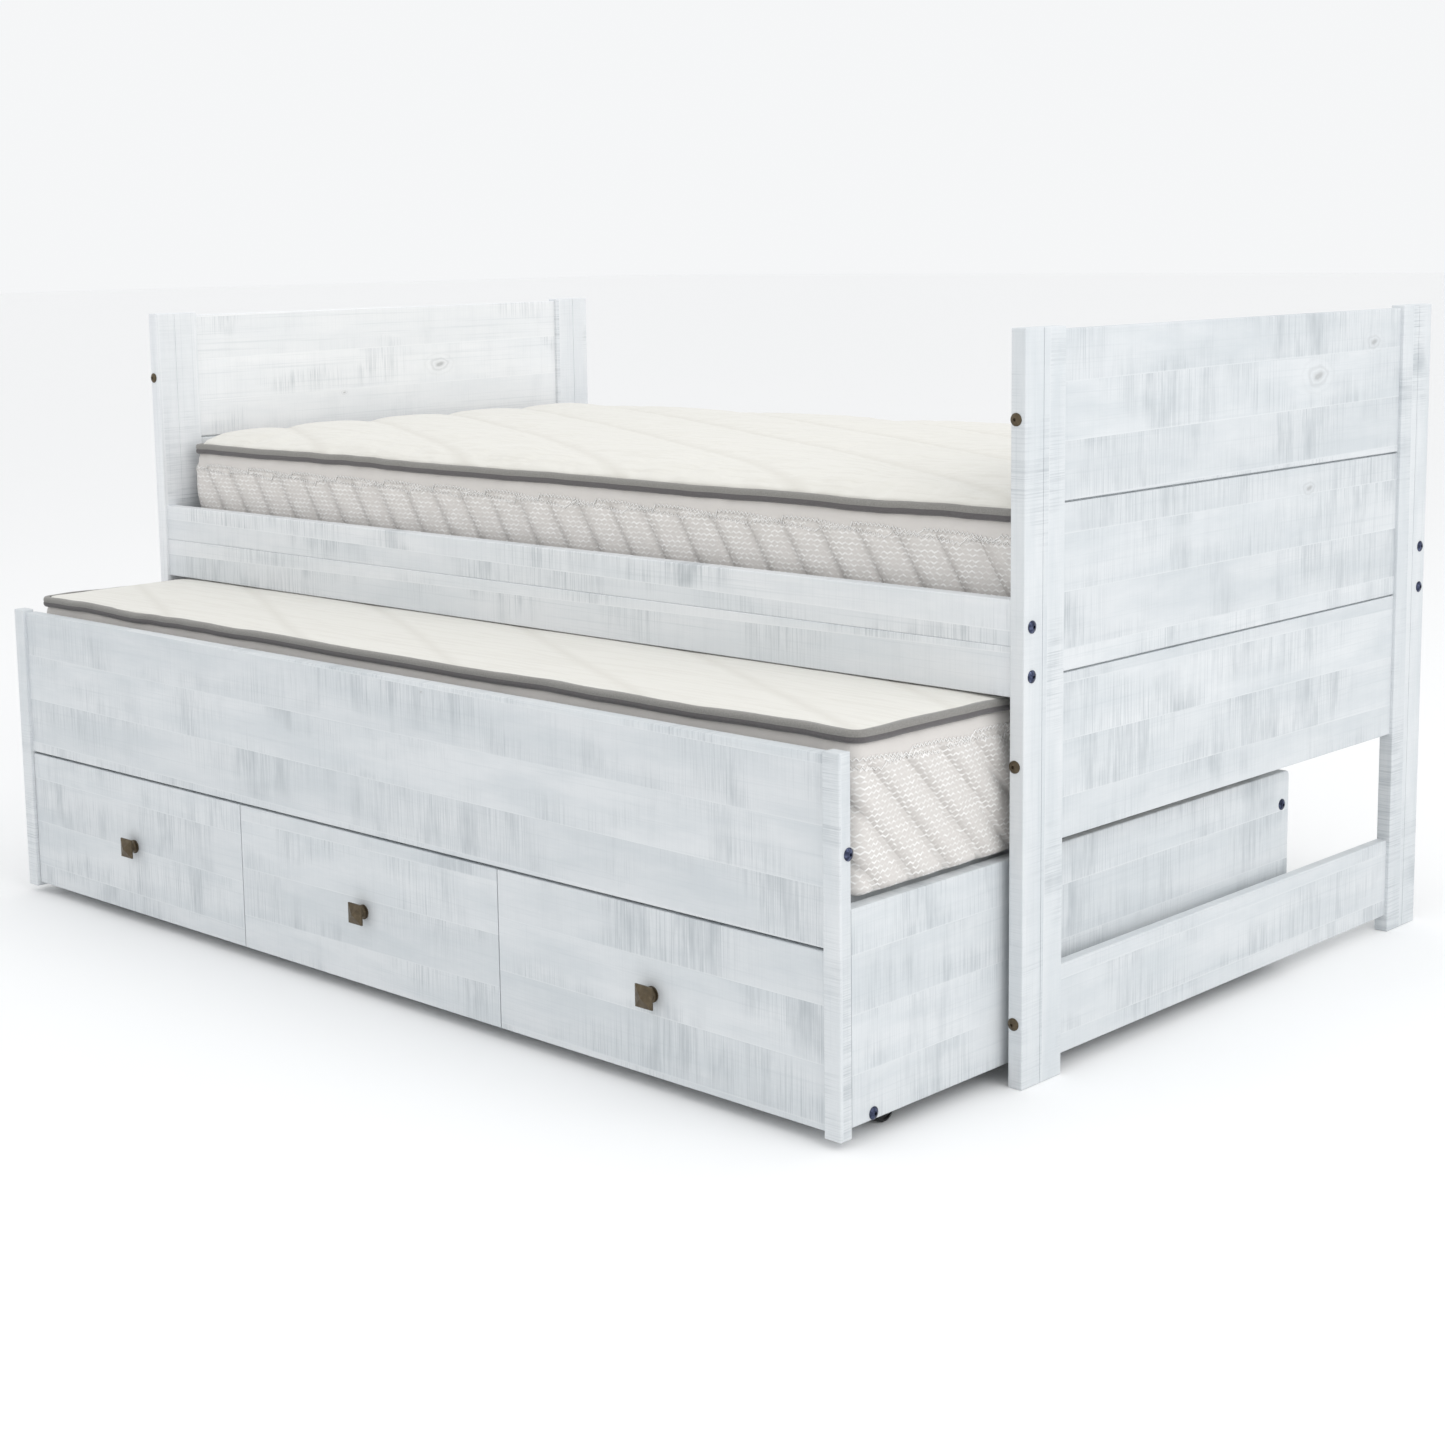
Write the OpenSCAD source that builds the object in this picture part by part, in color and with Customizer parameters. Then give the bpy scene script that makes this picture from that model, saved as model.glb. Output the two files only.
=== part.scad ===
// Trundle bed for two twin mattresses. A panel-end bed carries the upper mattress, and a
// trundle with its own slatted deck and three drawers rolls out beneath the front rail.
// X runs along the bed, the trundle rolls out towards -Y and Z is up. The origin is on
// the floor, under the middle of the whole object with the trundle partly out.

/* [Mattresses] */
// Length of a mattress
mattress_l = 1905; // [1500:1:2400]
// Width of a mattress
mattress_w = 990; // [800:1:1300]
// Height of the upper mattress
upper_mattress_h = 244; // [150:1:300]
// Height of the trundle mattress
trundle_mattress_h = 211; // [170:1:270]
// Radius of a mattress's corners, seen from above
mattress_corner_r = 40; // [20:1:90]
// Radius of a mattress's top and bottom edges
mattress_edge_r = 14; // [6:1:30]
// Gap between a mattress and the end posts
end_gap = 26.5; // [15:0.5:60]
// Gap between the upper mattress and the side rails
side_gap = 28.8; // [10:0.1:60]

/* [End frames] */
// Height of the end posts
post_h = 1029.7; // [850:0.1:1400]
// Thickness of a post, along the bed
post_t = 23.3; // [20:0.1:35]
// Width of a post, across the bed
post_w = 90.8; // [75:0.1:140]
// Distance from a post's outer edge to its glue line
post_stave_w = 41; // [25:1:50]
// Thickness of the end boards
board_t = 17.5; // [16:0.5:20]
// Underside of the lowest end board
panel_z = 332.6; // [275:0.1:400]
// How far the end boards stay below the post tops
panel_drop = 4.5; // [0:0.5:30]
// Shadow gap between two end boards
board_gap = 2.5; // [1:0.1:5]
// Height of the tongue that a board pushes into the next
tongue_h = 7; // [4:0.5:9]
// Thickness of the tongue
tongue_t = 5; // [3:0.5:6]
// Underside of the foot rail
foot_rail_z = 26.7; // [10:0.1:60]
// Height of the foot rail
foot_rail_h = 128.3; // [80:0.1:160]

/* [Side rails] */
// Thickness of a side rail
rail_t = 23.5; // [19:0.5:30]
// How far a rail's face sits behind the posts' face
rail_setback = 5.4; // [2:0.1:12]
// Height of the rail's lower board
rail_lower_h = 68.8; // [57:0.1:100]
// Height of the rail's upper board
rail_upper_h = 62.7; // [52:0.1:100]
// Gap between the trundle mattress and the rail above it
rail_clear = 5.4; // [3:0.1:40]
// Width of the ledger under the slats
ledger_w = 28; // [15:1:35]
// Height of the ledger under the slats
ledger_h = 16; // [12:1:24]

/* [Slats] */
// Number of slats under each mattress
slat_count = 13; // [8:1:18]
// Width of a slat
slat_w = 70; // [50:1:85]
// Thickness of a slat
slat_t = 18; // [12:1:22]
// Gap at the ends of a slat
slat_clear = 2; // [1:0.5:6]

/* [Trundle] */
// How far the trundle stands out in front of the bed
pull_out = 334.7; // [0:0.1:650]
// Gap between the trundle's side and the end posts
trundle_gap = 13.1; // [5:0.1:25]
// Thickness of a trundle post, along the bed
front_post_t = 28.2; // [26:0.1:40]
// Depth of a trundle post
front_post_d = 22.5; // [18:0.1:30]
// Underside of the trundle posts above the floor
front_post_z = 12; // [6:0.5:20]
// Gap between the trundle post tops and the side rail
front_post_drop = 22.5; // [10:0.5:60]
// How far the front panel stays below the trundle post tops
front_panel_drop = 5; // [0:0.5:20]
// Thickness of the front panel
front_t = 22; // [18:0.5:26]
// How far the fronts sit behind the trundle posts
front_setback = 6.5; // [2:0.5:12]
// Thickness of the side boards and the back board
side_t = 22; // [18:0.5:26]
// Underside of the side boards above the floor
side_z = 26.4; // [22:0.1:40]
// How far the side boards stay below the top of the slats
side_drop = 9.3; // [0:0.1:20]
// Radius of a side board's rear top corner
side_corner_r = 9; // [2:1:20]
// How far the back board sits in from the side boards' ends
back_inset = 9; // [0:1:20]
// Height from the front panel's underside to the top of the slats
deck_rise = 62.6; // [50:0.1:90]
// Gap between the trundle mattress and the front of the posts
trundle_mattress_in = 51.4; // [45:0.1:60]
// Side of the square cleats under the slats
cleat_s = 24; // [18:1:28]
// Thickness of the cross pieces and dividers
cross_t = 18; // [14:1:20]
// Width of the front stretcher
stretcher_w = 60; // [50:1:80]

/* [Drawers] */
// Underside of the drawer fronts
drawer_z = 18.8; // [14:0.1:26]
// Height of a drawer front
drawer_h = 237.7; // [198:0.1:290]
// Thickness of a drawer front
drawer_t = 20; // [16:0.5:22]
// Gap between two drawer fronts
drawer_gap = 2; // [1:0.1:4]
// Gap between the drawer fronts and the front panel
drawer_top_gap = 3.9; // [2:0.1:8]
// Length of a drawer box behind its front
box_d = 430; // [300:1:520]
// Gap between a drawer box and the divider beside it
box_gap = 3.5; // [2:0.5:6]
// How far a drawer box stays below the top of its front
box_drop = 29; // [15:1:60]
// Thickness of the drawer sides and back
box_t = 12; // [10:0.5:15]
// Thickness of the drawer bottom
bottom_t = 5; // [3:0.5:8]
// Width and height of the runners
runner_s = 18; // [12:1:20]

/* [Knobs] */
// Side of the square knob head
knob_s = 32; // [26:1:45]
// Distance from the drawer front to the knob's point
knob_reach = 24; // [20:1:40]
// Height of the knob's four-sided point
knob_point = 6.5; // [3:0.5:9]
// Thickness of the knob's square rim
knob_rim = 2.5; // [1:0.5:5]
// Diameter of the knob's foot
knob_foot_d = 23; // [18:0.5:28]
// Diameter of the knob's neck
knob_neck_d = 14; // [10:0.5:16]

/* [Casters] */
// Diameter of a caster wheel
wheel_d = 40; // [34:0.5:50]
// Width of the wheel's tread
wheel_w = 16; // [12:0.5:18]
// Diameter of the axle
axle_d = 6; // [5:0.5:8]
// Distance from the trundle's front to the front axles
front_axle_in = 122.4; // [115:0.1:160]
// Distance from the side boards' rear ends to the rear axles
rear_axle_in = 95; // [60:1:200]

/* [Fasteners] */
// Diameter of a bolt
bolt_d = 6; // [5:0.5:6]
// Diameter of a bolt's domed head
head_d = 17.5; // [13:0.5:20]
// Height of a bolt's domed head
head_h = 4.2; // [3:0.1:6]
// Diameter of a barrel nut
nut_d = 10; // [9:0.5:12]
// Length of a barrel nut
nut_l = 12; // [10:0.5:12]
// Clearance around a bolt or a nut in its hole
hole_clear = 0.25; // [0.1:0.05:0.5]
// Diameter of a trundle stop
stop_d = 18; // [12:1:20]
// Length of a trundle stop
stop_l = 40; // [25:1:45]
// Height of the trundle stops above the floor
stop_z = 153; // [60:1:250]

/* [Hidden] */

$fn = 48;
cut = 1;
edge_r = 1.8;
small_edge_r = 1;
groove_w = 1.2;
groove_d = 0.8;
tongue_room = 1;
ledger_step = 0.6;

// Overall plan of the bed
between_posts_x = mattress_l + 2 * end_gap;
bed_l = between_posts_x + 2 * post_t;
between_rails = mattress_w + 2 * side_gap;
bed_w = between_rails + 2 * (rail_t + rail_setback);
between_posts_y = bed_w - 2 * post_w;

// Fore and aft places
knob_proud = knob_reach - front_setback;
overall_d = knob_proud + pull_out + bed_w + head_h;
trundle_y = knob_proud - overall_d / 2;
bed_front_y = trundle_y + pull_out;
bed_rear_y = bed_front_y + bed_w;
bed_mid_y = (bed_front_y + bed_rear_y) / 2;
post_x = (bed_l - post_t) / 2;
panel_shift = (post_t - board_t) / 2;
rail_front_y = bed_front_y + rail_setback + rail_t / 2;
rail_rear_y = bed_rear_y - rail_setback - rail_t / 2;

// Heights, from the drawers up to the upper mattress
panel_pitch = (post_h - panel_drop - panel_z + board_gap) / 3;
end_board_h = panel_pitch - board_gap;
front_panel_z = drawer_z + drawer_h + drawer_top_gap;
deck_z = front_panel_z + deck_rise;
side_top = deck_z - side_drop;
rail_z = deck_z + trundle_mattress_h + rail_clear;
rail_joint_z = rail_z + rail_lower_h;
rail_top = rail_joint_z + rail_upper_h;
ledger_z = rail_z + ledger_step;
slat_z = ledger_z + ledger_h;
upper_deck_z = slat_z + slat_t;
front_post_top = rail_z - front_post_drop;
front_panel_top = front_post_top - front_panel_drop;

// Bolts
nut_in = 30;
bolt_tail = 8;
nut_room = 0.5;
bore_end = 2;
bore_l = nut_in + bolt_tail + bore_end;
head_round = 2;
bolt_r = bolt_d / 2 + hole_clear;
nut_r = nut_d / 2 + hole_clear;
socket_d = 5;
socket_depth = 2.4;
rail_bolt_up = 0.43;
rail_bolt_down = 0.56;
rail_bolt_z = [rail_z + rail_lower_h * rail_bolt_up, rail_top - rail_upper_h * rail_bolt_down];
end_bolt_z = [
    foot_rail_z + foot_rail_h / 2,
    panel_z + end_board_h / 2,
    panel_z + 2 * panel_pitch + end_board_h / 2
];
stop_edge = 2;
stop_in = stop_d / 2 + stop_edge;
stop_dome_r = stop_d * 0.7;

// Trundle
slide_clear = 0.3;
trundle_l = between_posts_x - 2 * trundle_gap;
trundle_d = bed_w - stop_in - stop_d / 2 - slide_clear;
side_x = (trundle_l - side_t) / 2;
side_in_x = trundle_l / 2 - side_t;
side_front_y = trundle_y + front_post_d;
side_rear_y = trundle_y + trundle_d;
side_l = side_rear_y - side_front_y;
side_h = side_top - side_z;
front_post_x = (trundle_l - front_post_t) / 2;
front_span = trundle_l - 2 * front_post_t;
front_y = trundle_y + front_setback;
front_back_y = front_y + front_t;
front_bolt_z = (front_panel_z + front_panel_top) / 2;
front_bolt_y = front_y + front_t / 2;
back_y = side_rear_y - back_inset - side_t / 2;
back_bolt_in = 52;
back_bolt_z = [side_z + back_bolt_in, side_top - back_bolt_in];
stretcher_gap = 6;
wheel_room = 4.4;
stretcher_y = front_back_y + stretcher_gap + stretcher_w / 2;
stretcher_top = max(side_z + cross_t, wheel_d + wheel_room);
stretcher_z = stretcher_top - cross_t;
stretcher_bolt_z = stretcher_z + cross_t / 2;
under_slats_z = deck_z - slat_t;
cleat_z = under_slats_z - cleat_s;
inner_d = back_y - side_t / 2 - front_back_y;
slat_end_gap = 10;

// Drawers
drawer_back_y = front_y + drawer_t;
bay = front_span / 3;
divider_clear = 1;
divider_front_y = max(front_back_y, drawer_back_y) + divider_clear;
box_w = bay - cross_t - 2 * box_gap;
box_rear_y = drawer_back_y + box_d;
mid_rail_gap = 12;
mid_rail_y = box_rear_y + mid_rail_gap;
runner_top = stretcher_top + runner_s;
outer_runner_w = side_in_x - bay - box_w / 2 + runner_s;
box_z = runner_top + slide_clear;
box_h = drawer_z + drawer_h - box_drop - box_z;
box_back_in = 4;
bottom_rise = 12;
bottom_z = box_z + bottom_rise;
bottom_groove = 6;
bottom_clear = 0.25;
bottom_l = box_d + bottom_groove - bottom_clear;
bottom_w = box_w - 2 * box_t + 2 * (bottom_groove - bottom_clear);
knob_drop = 1.6;
knob_z = drawer_z + drawer_h / 2 - knob_drop;
knob_foot_t = 2;
screw_d = 4;
screw_r = screw_d / 2 + hole_clear;
screw_in_knob = 8;
screw_head_d = 9;
screw_head_h = 2.2;
slot_l = 5.2;
slot_w = 1;
slot_d = 1.2;

// Casters
wheel_r = wheel_d / 2;
hub_wall = 4;
hub_r = axle_d / 2 + hub_wall;
hub_proud = 3.4;
leg_gap = 0.6;
leg_t = 2;
lug_wall = 3.5;
lug_r = axle_d / 2 + lug_wall;
leg_w = 34;
axle_run_clear = 0.05;
wheel_x = side_in_x - leg_t - leg_gap - hub_proud - wheel_w / 2;
leg_out = wheel_w / 2 + hub_proud + leg_gap;
plate_t = 1;
rivet_h = 1.5;
rivet_wall = 1.5;
tread_r = 3;
rim_wall = 4;
dish = wheel_w / 8;
axle_y = [trundle_y + front_axle_in, side_rear_y - rear_axle_in];

wood = "#dfe5e8";
wood_light = "#e9edef";
wood_inner = "#d5dcdf";
bronze = "#4a4034";
blued = "#3a3f58";
zinc = "#b4b8be";
black = "#1c1c1e";
ticking = "#ecebe6";

// Rectangle of a by b about the origin with its corners rounded
module eased_rect(a, b, r) {
    square([a - 2 * r, b], center = true);
    square([a, b - 2 * r], center = true);
    for (i = [-1, 1], j = [-1, 1])
        translate([i * (a / 2 - r), j * (b / 2 - r)]) circle(r = r);
}

// Board along X with its long edges eased, centred in X and Y, standing on z = 0
module board_x(l, w, h, r = edge_r) {
    translate([-l / 2, 0, h / 2])
        rotate([90, 0, 90]) linear_extrude(height = l) eased_rect(w, h, r);
}

// Board along Y with its long edges eased, centred in X and Y, standing on z = 0
module board_y(l, w, h, r = edge_r) {
    translate([0, l / 2, h / 2])
        rotate([90, 0, 0]) linear_extrude(height = l) eased_rect(w, h, r);
}

// Block of a by b by h standing on z = 0: corner_r seen from above, rim_r along top and foot
module eased_block(a, b, h, corner_r, rim_r) {
    intersection() {
        linear_extrude(height = h) eased_rect(a, b, corner_r);
        board_x(a + 2 * cut, b, h, rim_r);
        board_y(b + 2 * cut, a, h, rim_r);
    }
}

// Rod of radius r along X from x = 0 to x = l
module rod_x(r, l) {
    rotate([0, 90, 0]) cylinder(r = r, h = l);
}

// Rod of radius r along Y from y = 0 to y = l
module rod_y(r, l) {
    rotate([-90, 0, 0]) cylinder(r = r, h = l);
}

// Bolt along +Z with the underside of its domed head on z = 0
module bolt(l) {
    dome_r = (pow(head_d / 2, 2) + pow(head_h, 2)) / (2 * head_h) + head_round;
    cylinder(d = bolt_d, h = l);
    difference() {
        intersection() {
            translate([0, 0, -head_h]) cylinder(d = head_d, h = head_h);
            translate([0, 0, dome_r - head_h]) sphere(r = dome_r);
        }
        translate([0, 0, -head_h - cut])
            cylinder(d = socket_d, h = socket_depth + cut, $fn = 6);
    }
}

// Barrel nut along +Z about its middle, cross-drilled along X for its bolt
module barrel_nut() {
    difference() {
        cylinder(d = nut_d, h = nut_l, center = true);
        translate([-nut_d, 0, 0]) rod_x(bolt_r, 2 * nut_d);
    }
}

// Post at end sx of the bed, on side sy, with a glue line down both wide faces
module post(sx, sy) color(wood) {
    x = sx * post_x;
    y = bed_mid_y + sy * (bed_w - post_w) / 2;
    glue_y = bed_mid_y + sy * (bed_w / 2 - post_stave_w);
    difference() {
        translate([x, y, 0]) eased_block(post_t, post_w, post_h, edge_r, edge_r);
        for (i = [-1, 1])
            translate([x + i * post_t / 2 - groove_d, glue_y - groove_w / 2, -cut])
                cube([2 * groove_d, groove_w, post_h + 2 * cut]);
        for (z = end_bolt_z)
            translate([x - panel_shift, y - post_w / 2 - cut, z]) rod_y(bolt_r, post_w + 2 * cut);
        for (z = rail_bolt_z)
            translate([x - post_t / 2 - cut, sy < 0 ? rail_front_y : rail_rear_y, z])
                rod_x(bolt_r, post_t + 2 * cut);
    }
}

// Bolt and nut bores in both ends of an end board, at height z
module end_bores(sx, z) {
    x = sx * post_x - panel_shift;
    for (sy = [-1, 1]) {
        y = bed_mid_y + sy * between_posts_y / 2;
        translate([x, sy < 0 ? y - cut : y - bore_l, z]) rod_y(bolt_r, bore_l + cut);
        translate([x - board_t, y - sy * nut_in, z]) rod_x(nut_r, board_t + nut_l / 2 + nut_room);
    }
}

// End board in row 0, 1 or 2 from the bottom: tongue on top, groove below
module end_board(sx, row) color(wood_light) {
    x = sx * post_x - panel_shift;
    z = panel_z + row * panel_pitch;
    tongue_y = bed_mid_y - between_posts_y / 2;
    groove_t = tongue_t + 2 * hole_clear;
    difference() {
        union() {
            translate([x, bed_mid_y, z]) board_y(between_posts_y, board_t, end_board_h);
            if (row < 2)
                translate([x - tongue_t / 2, tongue_y, z + end_board_h - cut])
                    cube([tongue_t, between_posts_y, cut + board_gap + tongue_h]);
        }
        if (row > 0)
            translate([x - groove_t / 2, tongue_y - cut, z - cut])
                cube([groove_t, between_posts_y + 2 * cut, tongue_h + tongue_room + cut]);
        if (row != 1) end_bores(sx, z + end_board_h / 2);
    }
}

module foot_rail(sx) color(wood) difference() {
    translate([sx * post_x - panel_shift, bed_mid_y, foot_rail_z])
        board_y(between_posts_y, board_t, foot_rail_h);
    end_bores(sx, end_bolt_z[0]);
}

// One board of a side rail on side sy, from z upwards, bolted at height bolt_z
module rail_board(sy, z, h, bolt_z) {
    y = sy < 0 ? rail_front_y : rail_rear_y;
    nut_depth = rail_t / 2 + nut_l / 2 + nut_room;
    color(wood) difference() {
        translate([0, y, z]) board_x(between_posts_x, rail_t, h);
        for (sx = [-1, 1]) {
            x = sx * between_posts_x / 2;
            translate([sx < 0 ? x - cut : x - bore_l, y, bolt_z]) rod_x(bolt_r, bore_l + cut);
            translate([x - sx * nut_in, sy < 0 ? y - nut_l / 2 - nut_room : y - rail_t, bolt_z])
                rod_y(nut_r, nut_depth + rail_t / 2);
        }
    }
}

module bed_ledgers() color(wood_inner)
    for (sy = [-1, 1])
        translate([0, bed_mid_y + sy * (between_rails - ledger_w) / 2, ledger_z])
            board_x(between_posts_x, ledger_w, ledger_h);

// Row of slats of length l across a span, centred on y and standing on z
module slat_row(y, z, l, span) {
    pitch = (span - slat_w) / (slat_count - 1);
    for (i = [0 : slat_count - 1])
        translate([i * pitch - (span - slat_w) / 2, y, z]) board_y(l, slat_w, slat_t);
}

module bed_slats() color(wood_inner)
    slat_row(bed_mid_y, slat_z, between_rails - 2 * slat_clear, mattress_l);

module mattress(y, z, h) color(ticking)
    translate([0, y, z])
        eased_block(mattress_l, mattress_w, h, mattress_corner_r, mattress_edge_r);

// Half section of a trundle stop: a peg with a round nose
module stop_section() {
    intersection() {
        square([stop_d / 2, stop_l]);
        union() {
            square([stop_d / 2, stop_l - stop_dome_r]);
            translate([0, stop_l - stop_dome_r]) circle(r = stop_dome_r);
        }
    }
}

// Pegs inside the rear posts, where the trundle's side boards stop
module trundle_stops() color(black)
    for (sx = [-1, 1])
        translate([sx * between_posts_x / 2, bed_rear_y - stop_in, stop_z])
            rotate([0, -sx * 90, 0]) rotate_extrude() stop_section();

module end_bolts() color(bronze)
    for (sx = [-1, 1], sy = [-1, 1], z = end_bolt_z)
        translate([sx * post_x - panel_shift, bed_mid_y + sy * bed_w / 2, z])
            rotate([sy * 90, 0, 0]) bolt(post_w + nut_in + bolt_tail);

module end_nuts() color(zinc)
    for (sx = [-1, 1], sy = [-1, 1], z = end_bolt_z)
        translate([sx * post_x - panel_shift, bed_mid_y + sy * (between_posts_y / 2 - nut_in), z])
            rotate([0, 0, 90]) rotate([90, 0, 0]) barrel_nut();

module rail_bolts() color(blued)
    for (sx = [-1, 1], y = [rail_front_y, rail_rear_y], z = rail_bolt_z)
        translate([sx * bed_l / 2, y, z])
            rotate([0, -sx * 90, 0]) bolt(post_t + nut_in + bolt_tail);

module rail_nuts() color(zinc)
    for (sx = [-1, 1], y = [rail_front_y, rail_rear_y], z = rail_bolt_z)
        translate([sx * (between_posts_x / 2 - nut_in), y, z]) rotate([90, 0, 0]) barrel_nut();

module trundle_post(sx) color(wood) difference() {
    translate([sx * front_post_x, trundle_y + front_post_d / 2, front_post_z])
        eased_block(front_post_t, front_post_d, front_post_top - front_post_z, edge_r, edge_r);
    translate([sx * front_post_x - front_post_t, front_bolt_y, front_bolt_z])
        rod_x(bolt_r, 2 * front_post_t);
}

// Bolt and nut bores in both ends of a trundle cross piece of length l
module cross_bores(l, y, z, nut_depth) {
    for (sx = [-1, 1]) {
        translate([sx < 0 ? -l / 2 - cut : l / 2 - bore_l, y, z]) rod_x(bolt_r, bore_l + cut);
        translate([sx * (l / 2 - nut_in), y - nut_l / 2 - nut_room, z])
            rod_y(nut_r, nut_l / 2 + nut_room + nut_depth);
    }
}

module trundle_front_panel() color(wood_light) difference() {
    translate([0, front_bolt_y, front_panel_z])
        board_x(front_span, front_t, front_panel_top - front_panel_z);
    cross_bores(front_span, front_bolt_y, front_bolt_z, front_t);
}

// Places of the bolts through a side board: y and z
side_bolts = [
    [stretcher_y, stretcher_bolt_z],
    [back_y, back_bolt_z[0]],
    [back_y, back_bolt_z[1]]
];

// Outline of a side board seen from +X, with its rear top corner rounded
module side_outline() {
    square([side_l, side_h - side_corner_r]);
    square([side_l - side_corner_r, side_h]);
    translate([side_l - side_corner_r, side_h - side_corner_r]) circle(r = side_corner_r);
}

module trundle_side(sx) color(wood) difference() {
    intersection() {
        translate([sx * side_x, side_front_y + side_l / 2, side_z]) board_y(side_l, side_t, side_h);
        translate([sx * side_x - side_t, side_front_y, side_z])
            rotate([90, 0, 90]) linear_extrude(height = 2 * side_t) side_outline();
    }
    for (place = side_bolts)
        translate([sx * side_x - side_t, place[0], place[1]]) rod_x(bolt_r, 2 * side_t);
}

module trundle_back_board() color(wood_inner) difference() {
    translate([0, back_y, side_z]) board_x(2 * side_in_x, side_t, side_h);
    for (z = back_bolt_z) cross_bores(2 * side_in_x, back_y, z, side_t);
}

module front_stretcher() color(wood_inner) difference() {
    translate([0, stretcher_y, stretcher_z]) board_x(2 * side_in_x, stretcher_w, cross_t);
    for (sx = [-1, 1]) {
        translate([sx < 0 ? -side_in_x - cut : side_in_x - bore_l, stretcher_y, stretcher_bolt_z])
            rod_x(bolt_r, bore_l + cut);
        translate([sx * (side_in_x - nut_in), stretcher_y, stretcher_bolt_z - nut_l / 2 - nut_room])
            cylinder(r = nut_r, h = cross_t);
    }
}

module mid_rail() color(wood_inner)
    translate([0, mid_rail_y + cross_t / 2, side_z])
        board_x(2 * side_in_x, cross_t, under_slats_z - side_z);

module drawer_dividers() color(wood_inner) {
    l = mid_rail_y - divider_front_y;
    for (sx = [-1, 1])
        translate([sx * bay / 2, divider_front_y + l / 2, stretcher_top])
            board_y(l, cross_t, cleat_z - stretcher_top, small_edge_r);
}

module drawer_runners() color(wood_inner) {
    l = mid_rail_y - divider_front_y;
    y = divider_front_y + l / 2;
    for (sx = [-1, 1]) {
        for (i = [-1, 1])
            translate([sx * bay / 2 + i * (cross_t + runner_s) / 2, y, stretcher_top])
                board_y(l, runner_s, runner_s, small_edge_r);
        translate([sx * (side_in_x - outer_runner_w / 2), y, stretcher_top])
            board_y(l, outer_runner_w, runner_s, small_edge_r);
    }
}

module trundle_cleats() color(wood_inner)
    for (y = [front_back_y + cleat_s / 2, front_back_y + inner_d - cleat_s / 2])
        translate([0, y, cleat_z]) board_x(2 * side_in_x, cleat_s, cleat_s);

module trundle_slats() color(wood_inner) {
    span = 2 * (side_in_x - slat_end_gap);
    slat_row(front_back_y + inner_d / 2, under_slats_z, inner_d - 2 * slat_clear, span);
}

module trundle_bolts() color(blued)
    for (sx = [-1, 1]) {
        translate([sx * trundle_l / 2, front_bolt_y, front_bolt_z])
            rotate([0, -sx * 90, 0]) bolt(front_post_t + nut_in + bolt_tail);
        for (place = side_bolts)
            translate([sx * trundle_l / 2, place[0], place[1]])
                rotate([0, -sx * 90, 0]) bolt(side_t + nut_in + bolt_tail);
    }

module trundle_nuts() color(zinc)
    for (sx = [-1, 1]) {
        translate([sx * (front_span / 2 - nut_in), front_bolt_y, front_bolt_z])
            rotate([90, 0, 0]) barrel_nut();
        translate([sx * (side_in_x - nut_in), stretcher_y, stretcher_bolt_z]) barrel_nut();
        for (z = back_bolt_z)
            translate([sx * (side_in_x - nut_in), back_y, z]) rotate([90, 0, 0]) barrel_nut();
    }

// Leg of a caster bracket seen from the side: a plate with a round lug about the axle
module leg_outline() {
    translate([-leg_w / 2, wheel_r + lug_r]) square([leg_w, stretcher_top - wheel_r - lug_r]);
    translate([-lug_r, wheel_r]) square([2 * lug_r, lug_r]);
    translate([0, wheel_r]) circle(r = lug_r);
}

module caster_brackets() color(zinc)
    for (sx = [-1, 1], y = axle_y)
        translate([sx * wheel_x, y, 0]) difference() {
            union() {
                for (i = [-1, 1])
                    translate([i * (leg_out + leg_t / 2) - leg_t / 2, 0, 0])
                        rotate([90, 0, 90]) linear_extrude(height = leg_t) leg_outline();
                translate([-leg_out - leg_t, -leg_w / 2, stretcher_top - plate_t])
                    cube([2 * (leg_out + leg_t), leg_w, plate_t]);
            }
            translate([-2 * leg_out, 0, wheel_r]) rod_x(axle_d / 2 + axle_run_clear, 4 * leg_out);
        }

module caster_axles() color(zinc)
    for (sx = [-1, 1], y = axle_y)
        translate([sx * wheel_x, y, wheel_r]) {
            translate([-leg_out - leg_t, 0, 0]) rod_x(axle_d / 2, 2 * (leg_out + leg_t));
            translate([sx > 0 ? -leg_out - leg_t - rivet_h : leg_out + leg_t, 0, 0])
                rod_x(axle_d / 2 + rivet_wall, rivet_h);
        }

// Half section of a wheel: rounded tread, dished web and a longer hub
module wheel_section() {
    difference() {
        union() {
            eased_rect(wheel_d, wheel_w, tread_r);
            square([2 * hub_r, wheel_w + 2 * hub_proud], center = true);
        }
        translate([-wheel_d, -wheel_w])
            square([wheel_d + axle_d / 2 + axle_run_clear, 2 * wheel_w]);
        for (i = [-1, 1])
            translate([hub_r, i * wheel_w / 2 - dish])
                square([wheel_r - rim_wall - hub_r, 2 * dish]);
    }
}

module wheel(sx, y) color(black)
    translate([sx * wheel_x, y, wheel_r]) rotate([0, 90, 0]) rotate_extrude() wheel_section();

// Drawers, in place -1, 0 or 1 along the bed
module drawer_front(place) color(wood_light) difference() {
    translate([place * bay, front_y + drawer_t / 2, drawer_z])
        board_x(bay - drawer_gap, drawer_t, drawer_h);
    translate([place * bay, front_y - cut, knob_z]) rod_y(screw_r, drawer_t + 2 * cut);
    translate([place * bay - bottom_w / 2 - bottom_clear, drawer_back_y - bottom_groove, bottom_z])
        cube([bottom_w + 2 * bottom_clear, bottom_groove + cut, bottom_t + 2 * bottom_clear]);
}

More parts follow.
